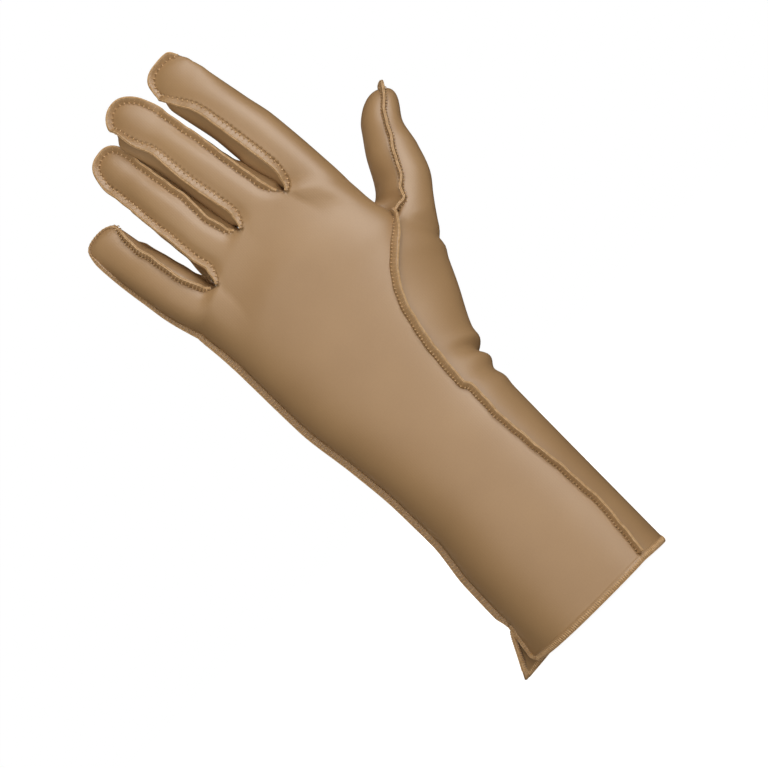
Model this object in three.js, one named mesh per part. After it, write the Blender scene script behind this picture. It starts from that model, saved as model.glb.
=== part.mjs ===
// Full-finger compression glove for the left hand, in the form it has on the hand.
// Millimetres. +X is the thumb side, -X the little finger side, -Y the back of the
// hand, +Y the palm, +Z the way to the fingertips. The origin is the middle of the cuff.
// The glove is sewn from panels of stretch fabric, joined edge to edge by overlocked
// seams that stand outside.
import * as THREE from "three";
import { ParametricGeometry } from "three/addons/geometries/ParametricGeometry.js";
import { mergeGeometries, mergeVertices } from "three/addons/utils/BufferGeometryUtils.js";

// Fabric and seams
const WALL = 1.2; // fabric
const GAP = 0.3; // left between neighbouring pieces
const EDGE_INSET = 0.25; // how far a panel's edge stands back from the seam line
const SEAM_RISE = 2.6; // how far a sewn edge stands out
const SEAM_THICK = 1.8; // two layers of fabric under the thread
const PALM_SEAM_RISE = 2.2; // the seams on the palm side stand lower
const CUFF_EDGE_HEIGHT = 2.6; // overlocked edge of the wrist opening
const CUFF_EDGE_THICK = 0.7;
const VENT_HEIGHT = 16; // open slit at the foot of the side seam
const VENT_FLARE = 10.5; // how far the palm panel's free corner stands out
const VENT_BACK_FLARE = 2.2; // the same for the back panel
const VENT_REACH = 0.24; // share of the panel's width that flares

// Arm and hand: sides of the section (x), its depth to the back and to the palm, its mid-plane (y)
const HAND = [
  { z: 0, ulnar: -30.3, radial: 33, back: 21.5, palm: 21.5, middle: 0 },
  { z: 40, ulnar: -29.4, radial: 33.3, back: 20.5, palm: 20.5, middle: 0 },
  { z: 60, ulnar: -27.2, radial: 33.6, back: 19.5, palm: 20, middle: 0 },
  { z: 78, ulnar: -27.4, radial: 33.7, back: 18.5, palm: 19.5, middle: 0 },
  { z: 100, ulnar: -29.3, radial: 35, back: 17, palm: 21, middle: 1 },
  { z: 125, ulnar: -32.4, radial: 40, back: 16, palm: 21, middle: 1 },
  { z: 150, ulnar: -32.9, radial: 45.3, back: 15, palm: 17, middle: 1 },
  { z: 170, ulnar: -33.1, radial: 45.1, back: 14.5, palm: 14.5, middle: 0.5 },
  { z: 196, ulnar: -38, radial: 44.5, back: 12, palm: 12, middle: 1 },
];
const SQUARE = 0.85; // below 1 the section is squarer than an ellipse
const ULNAR_TURN = 90; // the side seam, in degrees round the section from the back

// Thumb-side edge of the back panel and of the palm panel, in degrees round the section
const THUMB_EDGE = [
  { z: 0, back: 37.5, palm: 142 },
  { z: 28, back: 43.5, palm: 137 },
  { z: 78, back: 32, palm: 145 },
  { z: 100, back: 30, palm: 145 },
  { z: 125, back: 33, palm: 140 },
  { z: 140, back: 41, palm: 134 },
  { z: 151, back: 67, palm: 127 },
  { z: 156, back: 88, palm: 124 },
  { z: 165.5, back: 110, palm: 110 },
  { z: 176.6, back: 110, palm: 110 },
];
// Heights of the rows of the panels, at their thumb-side edge
const HEIGHTS = [
  0, 8, VENT_HEIGHT, 30, 46, 64, 80, 85, 90.5, 95.5, 99.7, 104, 109, 117, 126, 134, 141, 147, 152,
  156, 160.8, 165.5, 171, 176.6,
];
const WEB_ROW = 19; // the row where the thumb is set in
const FOLD_ROW = 21; // the row from where back and palm are one folded panel
const TOP_ROW = HEIGHTS.length - 1;
const TOP = HEIGHTS[TOP_ROW];
const BLEND_FROM = 0.89; // from here up the hand turns into the finger bases
const FINGER_LEAN = 0.08; // the fingers lean to the little finger side

// Fingers: centre line, half width, half depth. The last row is the tip, the one before
// it the start of the rounding. seams: degrees from the back of the finger.
const FINGERS = {
  little: {
    from: 0, to: 0.31, roundness: 2.6, slope: [0.47, 0.1],
    seams: { ulnar: { back: -85, palm: -85 }, radial: { back: 22, palm: 130 } },
    sections: [
      { z: 180, x: -27, y: 1.5, half: 8.1, deep: 10 },
      { z: 194, x: -29.8, y: 1, half: 8.9, deep: 8.6 },
      { z: 202, x: -31.3, y: 1.9, half: 8.6, deep: 8.2 },
      { z: 208, x: -32.6, y: 3, half: 8.2, deep: 7.8 },
      { z: 214, x: -34, y: 4.6, half: 7.5, deep: 7.2 },
      { z: 221, x: -35.1, y: 6.5, half: 6.9, deep: 6.6 },
      { z: 229, x: -36.6, y: 8.8, half: 6.8, deep: 6.6 },
    ],
  },
  ring: {
    from: 0.31, to: 0.49, roundness: 2.6, slope: [0.43, 0.12],
    seams: { ulnar: { back: -49, palm: -130 }, radial: { back: 49, palm: 130 } },
    sections: [
      { z: 188.8, x: -7.9, y: 0.5, half: 11, deep: 10.6 },
      { z: 204, x: -10.1, y: 0, half: 8.7, deep: 9.2 },
      { z: 214, x: -10.8, y: 0.6, half: 8.6, deep: 8.7 },
      { z: 222, x: -11.8, y: 1.8, half: 7.8, deep: 8.2 },
      { z: 230, x: -12.9, y: 3.8, half: 6.9, deep: 7.6 },
      { z: 239, x: -13.7, y: 6.4, half: 6, deep: 6.8 },
      { z: 248.8, x: -14.3, y: 9, half: 6, deep: 6.8 },
    ],
  },
  middle: {
    from: 0.49, to: 0.67, roundness: 2.1, slope: [-0.07, 0.12],
    seams: { ulnar: { back: -52, palm: -130 }, radial: { back: 52, palm: 130 } },
    sections: [
      { z: 192.8, x: 14.1, y: 0, half: 10.9, deep: 11 },
      { z: 206, x: 11.2, y: -0.5, half: 9.8, deep: 9.7 },
      { z: 214, x: 9.7, y: -0.1, half: 9.8, deep: 9.2 },
      { z: 222, x: 8.2, y: 0.8, half: 9.2, deep: 8.9 },
      { z: 230, x: 7, y: 2.2, half: 8.5, deep: 8.4 },
      { z: 238, x: 5.7, y: 3.9, half: 7.8, deep: 7.8 },
      { z: 244, x: 4.4, y: 5.2, half: 7.3, deep: 7.4 },
      { z: 258.1, x: 2, y: 8, half: 7, deep: 7.1 },
    ],
  },
  index: {
    from: 0.67, to: 1, roundness: 2.2, slope: [-0.7, 0.14],
    seams: { ulnar: { back: -22, palm: -140 }, radial: { back: 110, palm: 110 } },
    sections: [
      { z: 184, x: 34.8, y: 0.5, half: 9.9, deep: 10.6 },
      { z: 205, x: 32.4, y: 0, half: 10.4, deep: 9.6 },
      { z: 214, x: 31.3, y: 0.3, half: 10.4, deep: 9.2 },
      { z: 226, x: 29.5, y: 1.2, half: 9.8, deep: 8.7 },
      { z: 238, x: 27.5, y: 3.4, half: 9.5, deep: 8 },
      { z: 242, x: 27.1, y: 4.3, half: 9.3, deep: 7.8 },
      { z: 247, x: 26.7, y: 5.6, half: 8.5, deep: 7.4 },
      { z: 258.6, x: 25.6, y: 8.6, half: 8.4, deep: 7.3 },
    ],
  },
};
const WEB_TURN = { back: 72, palm: 105 }; // where the seams reach the webs
const WEB_RUN = 0.12; // share of the finger over which a seam leaves the web
const WEB_FADE = 0.25; // share over which the webs draw the fingers together
const SEAM_LEAVES = 0.2; // share from where the seams run to the sides of the tip
const ROUND_FROM = 0.7; // share of the rows below the rounding of a tip
// Rows of a finger, as shares from its base to its tip
const SHARES = [0, 0.06, 0.13, 0.22, 0.32, 0.42, 0.52, 0.6, 0.65, 0.7, 0.79, 0.87, 0.94, 1];
const FINGER_ROWS = SHARES.length - 1;
const SIDE_ROWS = SHARES.indexOf(ROUND_FROM); // the side strips end where the tip begins
const STRIP_COLUMNS = 5;
const SIDE_COLUMNS = 2;

// Thumb panel: the line of its outermost points, and half the angle that its section bends through
const THUMB_SIDE = [
  { z: 0, x: 33, y: 0, at: 0, bend: 52 },
  { z: 40, x: 33.3, y: 0, at: 40, bend: 48 },
  { z: 78, x: 33.7, y: 0.5, at: 78, bend: 57 },
  { z: 93, x: 34.2, y: 1.5, at: 92.3, bend: 60 },
  { z: 108, x: 38.4, y: 5, at: 106.5, bend: 66 },
  { z: 125, x: 46.2, y: 8, at: 122, bend: 72 },
  { z: 140, x: 52.4, y: 10, at: 135, bend: 78 },
  { z: 150, x: 57.2, y: 11, at: 143.3, bend: 84 },
  { z: 156, x: 60.9, y: 11.5, at: 149.3, bend: 90 },
];
// Folds across the thumb panel where the wrist bends
const FOLDS = [
  { z: 104, rise: 1.0, width: 2.6 },
  { z: 99.7, rise: -2.2, width: 2.2 },
  { z: 95.5, rise: 1.1, width: 2.4 },
  { z: 90.5, rise: -0.9, width: 2.4 },
  { z: 85, rise: 0.4, width: 2.6 },
  { z: 147, rise: -0.8, width: 2.5 },
];
// Thumb: centre line, half width to its outer side, half depth to the back
const THUMB = [
  { t: 0, x: 51, y: 11.5, z: 154.8, half: 11.3, deep: 10 },
  { t: 0.25, x: 59.4, y: 14.5, z: 164.4, half: 10.9, deep: 10 },
  { t: 0.5, x: 63.8, y: 18, z: 174, half: 10.1, deep: 9.6 },
  { t: 0.75, x: 68.6, y: 22.5, z: 184.4, half: 8.2, deep: 8.2 },
  { t: 1, x: 77.9, y: 28.5, z: 193, half: 8.2, deep: 8.2 },
];
const THUMB_LEAN = 29; // degrees to the outer side
const THUMB_PITCH = 30; // degrees to the palm
const THUMB_ROUND_FROM = 0.75;
const THUMB_ROUNDNESS = 2.5;
const THUMB_FADE = 0.3; // share of the thumb over which the web draws it in
const THUMB_ROWS = 12;
const THUMB_COLUMNS = 6;
const INNER_COLUMNS = 4;

const rad = (degrees) => (degrees * Math.PI) / 180;
const mix = (a, b, t) => a + (b - a) * t;
const clamp = (t) => Math.min(Math.max(t, 0), 1);
const smooth = (from, to, t) => THREE.MathUtils.smoothstep(t, from, to);
const vec = (x, y, z) => new THREE.Vector3(x, y, z);
const signed = (c) => Math.sign(c) * Math.abs(c) ** SQUARE;

// Slope of a column at a row of a table: level at a turning point, so that nothing overshoots
function slopeAt(table, name, column, i) {
  const secant = (k) =>
    (table[k + 1][column] - table[k][column]) / (table[k + 1][name] - table[k][name]);
  if (i === 0) return secant(0);
  if (i === table.length - 1) return secant(i - 1);
  const [before, after] = [secant(i - 1), secant(i)];
  return before * after > 0 ? (2 * before * after) / (before + after) : 0;
}

// The row of a table at a value of its first column, on a smooth curve through the rows
function rowAt(table, name, value) {
  let i = 0;
  while (i < table.length - 2 && value > table[i + 1][name]) i += 1;
  const a = table[i];
  const b = table[i + 1];
  const span = b[name] - a[name];
  const t = clamp((value - a[name]) / span);
  const row = {};
  for (const c of Object.keys(a)) {
    row[c] =
      a[c] * (1 + 2 * t) * (1 - t) ** 2 +
      span * slopeAt(table, name, c, i) * t * (1 - t) ** 2 +
      b[c] * t * t * (3 - 2 * t) +
      span * slopeAt(table, name, c, i + 1) * t * t * (t - 1);
  }
  return row;
}

// A point of the arm and hand at a height, in degrees round the section from the back
function handPoint(z, turn) {
  const s = rowAt(HAND, "z", z);
  const across = signed(Math.sin(rad(turn)));
  const up = signed(Math.cos(rad(turn)));
  const depth = up > 0 ? s.back : s.palm;
  return vec(mix(s.ulnar, s.radial, (across + 1) / 2), s.middle - depth * up, z);
}

// Rounding of a tip: how far along it the share u is, and how much of the section is left
function rounding(u, from, roundness) {
  const along = Math.sin((Math.PI / 2) * clamp((u - from) / (1 - from)));
  return { along, left: (1 - along ** roundness) ** (1 / roundness) };
}

// A point of a finger, u from its base to its tip, before it is drawn to the webs
function fingerRing(finger, u, turn) {
  const rows = finger.sections;
  const start = rows[rows.length - 2].z;
  const { along, left } = rounding(u, ROUND_FROM, finger.roundness);
  const z = mix(mix(rows[0].z, start, clamp(u / ROUND_FROM)), rows[rows.length - 1].z, along);
  const s = rowAt(rows, "z", z);
  const across = s.half * left * Math.sin(rad(turn));
  const slope = mix(finger.slope[0], finger.slope[1], smooth(0, 0.35, u));
  return vec(s.x + across, s.y - s.deep * left * Math.cos(rad(turn)), z + slope * across);
}

// Where a seam of a finger lies at u, in degrees from the back: out of the web, then in a nearly
// straight line to the side of the tip
function seamTurn(finger, side, face, u) {
  const set = finger.seams[side];
  const sign = side === "ulnar" ? -1 : 1;
  const joined = set.back === set.palm;
  const web = joined ? set.back : sign * WEB_TURN[face];
  const turn = mix(web, set[face], smooth(0, WEB_RUN, u));
  const run = clamp((u - SEAM_LEAVES) / (ROUND_FROM - SEAM_LEAVES)) ** 1.5;
  const above = Math.asin(mix(Math.sin(rad(turn)), sign, run)) / rad(1);
  return Math.abs(turn) > 90 ? sign * 180 - above : above;
}

const NAMES = ["little", "ring", "middle", "index"];
const FACES = ["back", "palm"];
const SIDES = ["ulnar", "radial"];
// The web points between neighbouring fingers, on the back and on the palm
const WEBS = [0, 1, 2].map((i) =>
  Object.fromEntries(
    FACES.map((face) => {
      const a = FINGERS[NAMES[i]];
      const b = FINGERS[NAMES[i + 1]];
      const p = fingerRing(a, 0, seamTurn(a, "radial", face, 0));
      const q = fingerRing(b, 0, seamTurn(b, "ulnar", face, 0));
      return [face, p.lerp(q, 0.5)];
    }),
  ),
);

// How far a finger's edge is drawn at its base to reach the web
function pull(name, side, face) {
  const web = WEBS[NAMES.indexOf(name) - (side === "ulnar" ? 1 : 0)];
  if (!web) return vec(0, 0, 0);
  const finger = FINGERS[name];
  return web[face].clone().sub(fingerRing(finger, 0, seamTurn(finger, side, face, 0)));
}
const PULLS = Object.fromEntries(
  NAMES.map((name) => [
    name,
    Object.fromEntries(
      SIDES.map((side) => [
        side,
        Object.fromEntries(FACES.map((face) => [face, pull(name, side, face)])),
      ]),
    ),
  ]),
);
const fade = (u, run) => clamp(1 - u / run) ** 2;

// A point of the back or palm strip of a finger, q from its little finger side to its thumb side
function stripPoint(name, face, u, q) {
  const finger = FINGERS[name];
  const round = face === "palm" ? 360 : 0;
  const turn = mix(
    seamTurn(finger, "ulnar", face, u) + round,
    seamTurn(finger, "radial", face, u),
    q,
  );
  const draw = PULLS[name].ulnar[face].clone().lerp(PULLS[name].radial[face], q);
  return fingerRing(finger, u, turn).addScaledVector(draw, fade(u, WEB_FADE));
}

// A point of a finger's side strip, w from the back seam to the palm seam
function sidePoint(name, side, u, w) {
  const finger = FINGERS[name];
  const turn = (at) =>
    mix(seamTurn(finger, side, "back", at), seamTurn(finger, side, "palm", at), w);
  const web = WEBS[NAMES.indexOf(name) - (side === "ulnar" ? 1 : 0)];
  const draw = web.back.clone().lerp(web.palm, w).sub(fingerRing(finger, 0, turn(0)));
  return fingerRing(finger, u, turn(u)).addScaledVector(draw, fade(u, WEB_FADE));
}

// A point of the back or palm panel below a finger, at a row height
function panelPoint(name, face, height, q) {
  const finger = FINGERS[name];
  const base = stripPoint(name, face, 0, q);
  const share = height / TOP;
  const z = base.z * share;
  const across = mix(finger.from, finger.to, q);
  const edge = rowAt(THUMB_EDGE, "z", height)[face];
  const ulnar = face === "palm" ? 360 - ULNAR_TURN : -ULNAR_TURN;
  const point = handPoint(z, mix(ulnar, edge, across));
  const below = vec(base.x + FINGER_LEAN * (base.z - z), base.y, z);
  point.lerp(below, smooth(BLEND_FROM, 1, share));
  // the free corners at the vent stand out
  const free = clamp(1 - height / VENT_HEIGHT) ** 1.1 * clamp(1 - across / VENT_REACH) ** 2;
  point.x -= free * (face === "palm" ? VENT_FLARE : VENT_BACK_FLARE);
  return point;
}

// A section that bends from one edge over an outermost point to the other edge, w from -1 to 1
function bendPoint(left, apex, right, bend, w) {
  const middle = left.clone().add(right).multiplyScalar(0.5);
  const out = (Math.cos(bend * w) - Math.cos(bend)) / (1 - Math.cos(bend));
  return middle
    .clone()
    .addScaledVector(right.clone().sub(left), (0.5 * Math.sin(bend * w)) / Math.sin(bend))
    .addScaledVector(apex.clone().sub(middle), out);
}

// Directions across the thumb: to its outer side, and out of its back
const THUMB_OUT = vec(Math.cos(rad(THUMB_LEAN)), 0, -Math.sin(rad(THUMB_LEAN)));
const THUMB_BACK = vec(
  Math.sin(rad(THUMB_PITCH)) * Math.sin(rad(THUMB_LEAN)),
  -Math.cos(rad(THUMB_PITCH)),
  Math.sin(rad(THUMB_PITCH)) * Math.cos(rad(THUMB_LEAN)),
);

// A point of the thumb, t from the web to the tip, turn from its back seam to its outer side
function thumbRing(t, turn) {
  const { along, left } = rounding(t, THUMB_ROUND_FROM, THUMB_ROUNDNESS);
  const at = t < THUMB_ROUND_FROM ? t : mix(THUMB_ROUND_FROM, 1, along);
  const s = rowAt(THUMB, "t", at);
  return vec(s.x, s.y, s.z)
    .addScaledVector(THUMB_BACK, s.deep * left * Math.cos(rad(turn)))
    .addScaledVector(THUMB_OUT, s.half * left * Math.sin(rad(turn)));
}

// The edge of the thumb's web, w from the back through the fold to the palm
function webEdge(w) {
  const steps = 2 * (FOLD_ROW - WEB_ROW);
  const i = Math.round(w * steps);
  const row = WEB_ROW + Math.min(i, steps - i);
  return panelPoint("index", 2 * i <= steps ? "back" : "palm", HEIGHTS[row], 1);
}

// A point of the inner half of the thumb
function innerPoint(t, w) {
  const draw = webEdge(w).sub(thumbRing(0, -180 * w));
  return thumbRing(t, -180 * w).addScaledVector(draw, fade(t, THUMB_FADE));
}

// A point of the thumb panel: its rows follow the hand to the web, then the thumb
function thumbPanelPoint(row, w) {
  if (row > WEB_ROW) {
    const t = (row - WEB_ROW) / THUMB_ROWS;
    return bendPoint(innerPoint(t, 0), thumbRing(t, 90), innerPoint(t, 1), Math.PI / 2, w);
  }
  const height = HEIGHTS[row];
  const s = rowAt(THUMB_SIDE, "z", height);
  const left = panelPoint("index", "back", height, 1);
  const right = panelPoint("index", "palm", height, 1);
  const point = bendPoint(left, vec(s.x, s.y, s.at), right, rad(s.bend), w);
  for (const fold of FOLDS) {
    const rise = fold.rise * Math.exp(-(((height - fold.z) / fold.width) ** 2));
    point.x += rise * (1 - w * w);
  }
  return point;
}

// A sheet of a panel: point(row, share across), rows counted from its foot
function sheet(point, columns, firstRow, lastRow, flip) {
  const rows = lastRow - firstRow;
  const surface = (u, v, target) => {
    const across = Math.round((flip ? 1 - u : u) * columns) / columns;
    target.copy(point(firstRow + Math.round(v * rows), across));
  };
  const geometry = new ParametricGeometry(surface, columns, rows);
  geometry.deleteAttribute("normal");
  geometry.deleteAttribute("uv");
  return geometry;
}

function handSheets(face) {
  const flip = face === "palm";
  return NAMES.flatMap((name) => [
    sheet(
      (row, q) => panelPoint(name, face, HEIGHTS[row], q),
      STRIP_COLUMNS, 0, TOP_ROW, flip,
    ),
    sheet(
      (row, q) => stripPoint(name, face, SHARES[row], q),
      STRIP_COLUMNS, 0, FINGER_ROWS, flip,
    ),
  ]);
}

function sideSheets(i) {
  return [
    sheet(
      (row, w) => sidePoint(NAMES[i], "radial", SHARES[row], w),
      SIDE_COLUMNS, 0, SIDE_ROWS, false,
    ),
    sheet(
      (row, w) => sidePoint(NAMES[i + 1], "ulnar", SHARES[row], w),
      SIDE_COLUMNS, 0, SIDE_ROWS, true,
    ),
  ];
}

const PANELS = {
  back_panel: handSheets("back"),
  palm_panel: handSheets("palm"),
  thumb_panel: [
    sheet((row, w) => thumbPanelPoint(row, 2 * w - 1), THUMB_COLUMNS, 0, WEB_ROW + THUMB_ROWS, false),
  ],
  thumb_inner_panel: [
    sheet((row, w) => innerPoint(row / THUMB_ROWS, w), INNER_COLUMNS, 0, THUMB_ROWS, true),
  ],
  fourchette_ring_little: sideSheets(0),
  fourchette_middle_ring: sideSheets(1),
  fourchette_index_middle: sideSheets(2),
};

// Corners of the faces of a sheet, without those that have closed to a line
function faces(geometry) {
  const list = [];
  const index = geometry.index.array;
  for (let i = 0; i < index.length; i += 3) {
    const [a, b, c] = [index[i], index[i + 1], index[i + 2]];
    if (a !== b && b !== c && c !== a) list.push([a, b, c]);
  }
  return list;
}
const pointsOf = (geometry) =>
  Array.from({ length: geometry.attributes.position.count }, (_, i) =>
    vec(0, 0, 0).fromBufferAttribute(geometry.attributes.position, i),
  );
const keyOf = (p) => p.toArray().map((c) => Math.round(c * 100)).join();

// Outward directions over the whole sewn glove, shared by the panels that meet at a seam
const whole = mergeVertices(mergeGeometries(Object.values(PANELS).flat()), 1e-3);
const OUTWARD = new Map();
{
  const points = pointsOf(whole);
  const normals = points.map(() => vec(0, 0, 0));
  for (const [a, b, c] of faces(whole)) {
    const ab = points[b].clone().sub(points[a]);
    const n = ab.cross(points[c].clone().sub(points[a]));
    for (const i of [a, b, c]) normals[i].add(n);
  }
  points.forEach((p, i) => OUTWARD.set(keyOf(p), normals[i].normalize()));
}

function solid(points, triangles) {
  const geometry = new THREE.BufferGeometry();
  const flat = points.flatMap((p) => p.toArray());
  geometry.setAttribute("position", new THREE.Float32BufferAttribute(flat, 3));
  geometry.setIndex(triangles.flat());
  return geometry;
}

// Gives the corners of an edge the same order in both panels that meet there
const order = (p) => -p.y + 0.3 * p.x - 0.17 * p.z;

// A panel with the fabric's thickness: the sheet, the same sheet inside it, and the edges between
function panel(sheets) {
  const geometry = mergeVertices(mergeGeometries(sheets), 1e-3);
  const points = pointsOf(geometry);
  const triangles = faces(geometry);
  const outward = points.map((p) => OUTWARD.get(keyOf(p)));
  const edges = new Map();
  for (const [a, b, c] of triangles) {
    for (const [i, j] of [[a, b], [b, c], [c, a]]) {
      if (!edges.delete(`${j},${i}`)) edges.set(`${i},${j}`, [i, j]);
    }
  }
  const rim = [...edges.values()];
  // the edges stand back from the neighbouring panel
  const inward = new Map();
  const along = new Map();
  for (const [i, j] of rim) {
    const run = points[j].clone().sub(points[i]).normalize();
    for (const k of [i, j]) along.set(k, (along.get(k) ?? vec(0, 0, 0)).add(run));
  }
  for (const triangle of triangles) {
    const centre = triangle.reduce((sum, i) => sum.addScaledVector(points[i], 1 / 3), vec(0, 0, 0));
    for (const i of triangle) {
      if (!along.has(i)) continue;
      inward.set(i, (inward.get(i) ?? vec(0, 0, 0)).add(centre.clone().sub(points[i])));
    }
  }
  const outer = points.map((p, i) => {
    if (!inward.has(i)) return p;
    const step = inward.get(i).clone();
    const run = along.get(i).clone().normalize();
    step.addScaledVector(run, -step.dot(run));
    const length = Math.min(EDGE_INSET, 0.4 * step.length());
    return p.clone().addScaledVector(step.normalize(), length);
  });
  const inner = outer.map((p, i) => p.clone().addScaledVector(outward[i], -WALL));
  const n = points.length;
  return solid(
    [...outer, ...inner],
    [
      ...triangles,
      ...triangles.map(([a, b, c]) => [c + n, b + n, a + n]),
      ...rim.flatMap(([i, j]) =>
        order(points[i]) < order(points[j])
          ? [[j, i, j + n], [i, i + n, j + n]]
          : [[j, i, i + n], [j, i + n, j + n]],
      ),
    ],
  );
}

// A bar swept along a path: profile points are [across, out] from the path, ends closed,
// heights: the share of its height and a lift from the fabric at each point of the path
function bar(path, outs, profile, heights) {
  const count = profile.length;
  const points = [];
  path.forEach((p, i) => {
    const ahead = path[Math.min(i + 1, path.length - 1)];
    const behind = path[Math.max(i - 1, 0)];
    const run = ahead.clone().sub(behind).normalize();
    const out = outs[i].clone().addScaledVector(run, -outs[i].dot(run)).normalize();
    const across = run.clone().cross(out);
    const { share = 1, lift = 0 } = heights?.[i] ?? {};
    for (const [a, o] of profile) {
      const height = GAP + lift + (o - GAP) * share;
      points.push(p.clone().addScaledVector(across, a).addScaledVector(out, height));
    }
  });
  const triangles = [];
  for (let i = 0; i + 1 < path.length; i += 1) {
    for (let j = 0; j < count; j += 1) {
      const [a, b] = [i * count + j, i * count + ((j + 1) % count)];
      triangles.push([a, b, a + count], [b, b + count, a + count]);
    }
  }
  const last = (path.length - 1) * count;
  for (let j = 1; j + 1 < count; j += 1) {
    triangles.push([0, j + 1, j], [last, last + j, last + j + 1]);
  }
  return solid(points, triangles);
}

// How far the thumb's seams lie off the fabric where they bend into the web, by row
const WEB_LIFTS = {
  [WEB_ROW - 4]: 0.2,
  [WEB_ROW - 3]: 0.4,
  [WEB_ROW - 2]: 0.6,
  [WEB_ROW - 1]: 0.8,
  [WEB_ROW]: 0.3,
};
const WEB_SHARES = [0.3, 0.6, 0.85]; // height of a seam from where it leaves a web

// An overlocked seam: a flat edge with rounded corners, standing out along a line of the glove
function seam({ path, low = [], lifts = {} }, rise) {
  const half = SEAM_THICK / 2;
  const profile = [
    [-half, GAP], [-half, rise * 0.6], [-half * 0.6, rise],
    [half * 0.6, rise], [half, rise * 0.6], [half, GAP],
  ];
  // an end that runs into a web lies lower
  const heights = path.map((_, i) => {
    const first = low.includes("first") ? (WEB_SHARES[i] ?? 1) : 1;
    const last = low.includes("last") ? (WEB_SHARES[path.length - 1 - i] ?? 1) : 1;
    return { share: first * last, lift: lifts[i] };
  });
  return bar(path, path.map((p) => OUTWARD.get(keyOf(p))), profile, heights);
}

const rows = (from, to) =>
  Array.from({ length: Math.abs(to - from) + 1 }, (_, i) => from + i * Math.sign(to - from));
const fingerLine = (name, face, q, from, to) =>
  rows(from, to).map((row) => stripPoint(name, face, SHARES[row], q));
const handLine = (name, face, q, from, to) =>
  rows(from, to).map((row) => panelPoint(name, face, HEIGHTS[row], q));
const thumbLine = (w, from, to) => rows(from, to).map((row) => innerPoint(row / THUMB_ROWS, w));
const palmSeam = (name, q) => ({
  path: fingerLine(name, "palm", q, 1, SIDE_ROWS - 2),
  low: ["first"],
});
const backSeam = (name) => ({
  path: [
    ...fingerLine(name, "back", 0, 1, FINGER_ROWS),
    ...fingerLine(name, "back", 1, FINGER_ROWS - 1, 1),
  ],
  low: ["first", "last"],
});

const SEAMS = {
  index_back_seam: {
    path: [
      ...fingerLine("index", "back", 0, 1, FINGER_ROWS),
      ...fingerLine("index", "back", 1, FINGER_ROWS - 1, FINGER_ROWS - 2),
    ],
    low: ["first"],
  },
  middle_back_seam: backSeam("middle"),
  ring_back_seam: backSeam("ring"),
  side_seam: {
    path: [
      ...handLine("little", "back", 0, 2, TOP_ROW),
      ...fingerLine("little", "back", 0, 1, FINGER_ROWS),
      ...fingerLine("little", "back", 1, FINGER_ROWS - 1, 1),
    ],
    low: ["last"],
  },
  thumb_back_seam: {
    path: [...handLine("index", "back", 1, 1, WEB_ROW), ...thumbLine(0, 1, THUMB_ROWS)],
    lifts: WEB_LIFTS,
  },
};
const PALM_SEAMS = {
  little_palm_seam: palmSeam("little", 1),
  ring_palm_seam_outer: palmSeam("ring", 0),
  ring_palm_seam_inner: palmSeam("ring", 1),
  middle_palm_seam_outer: palmSeam("middle", 0),
  middle_palm_seam_inner: palmSeam("middle", 1),
  index_palm_seam: palmSeam("index", 0),
  thumb_palm_seam: {
    path: [...handLine("index", "palm", 1, 1, WEB_ROW), ...thumbLine(1, 1, THUMB_ROWS - 1)],
    lifts: WEB_LIFTS,
  },
};

// The overlocked edge round the wrist opening, from one side of the vent to the other
function cuffEdge() {
  const columns = rows(0, STRIP_COLUMNS).map((i) => i / STRIP_COLUMNS);
  const line = (face) =>
    NAMES.flatMap((name) =>
      columns.slice(name === "little" ? 0 : 1).map((q) => panelPoint(name, face, 0, q)),
    );
  const side = rows(1, THUMB_COLUMNS - 1).map((i) =>
    thumbPanelPoint(0, (2 * i) / THUMB_COLUMNS - 1),
  );
  const path = [...line("back"), ...side, ...line("palm").reverse()];
  const outs = path.map((p) => OUTWARD.get(keyOf(p)));
  const low = 0;
  const profile = [
    [-low, GAP], [-CUFF_EDGE_HEIGHT, GAP],
    [-CUFF_EDGE_HEIGHT, GAP + CUFF_EDGE_THICK], [-low, GAP + CUFF_EDGE_THICK],
  ];
  return bar(path, outs, profile);
}

const FABRIC = new THREE.MeshStandardMaterial({ color: "#b0906a", roughness: 0.85, metalness: 0 });
const THREAD = new THREE.MeshStandardMaterial({ color: "#bf9c70", roughness: 0.7, metalness: 0 });

function group(name, pieces, material) {
  const holder = new THREE.Group();
  holder.name = name;
  for (const [node, geometry] of Object.entries(pieces)) {
    const mesh = new THREE.Mesh(geometry, material);
    mesh.name = node;
    holder.add(mesh);
  }
  return holder;
}
const mapped = (table, make) =>
  Object.fromEntries(Object.entries(table).map(([name, value]) => [name, make(value)]));

const glove = new THREE.Group();
glove.name = "compression_glove";
glove.add(
  group("panels", mapped(PANELS, panel), FABRIC),
  group("back_seams", mapped(SEAMS, (line) => seam(line, SEAM_RISE)), THREAD),
  group("palm_seams", mapped(PALM_SEAMS, (line) => seam(line, PALM_SEAM_RISE)), THREAD),
  group("edges", { cuff_edge: cuffEdge() }, THREAD),
);

export default glove;
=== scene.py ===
"""Looks of a full-finger compression glove for the left hand, in the form it has on the hand.

The glove is sewn from panels of tan stretch knit. The panels meet edge to edge in overlocked
seams that stand outside as thin fins, with looper thread zigzagging over both of their faces.
The shape is worked out in millimetres. +X is the thumb side, -Y the back of the hand and +Z the
way to the fingertips.
"""

import bpy
import numpy as np
from mathutils import Matrix, Vector


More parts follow.
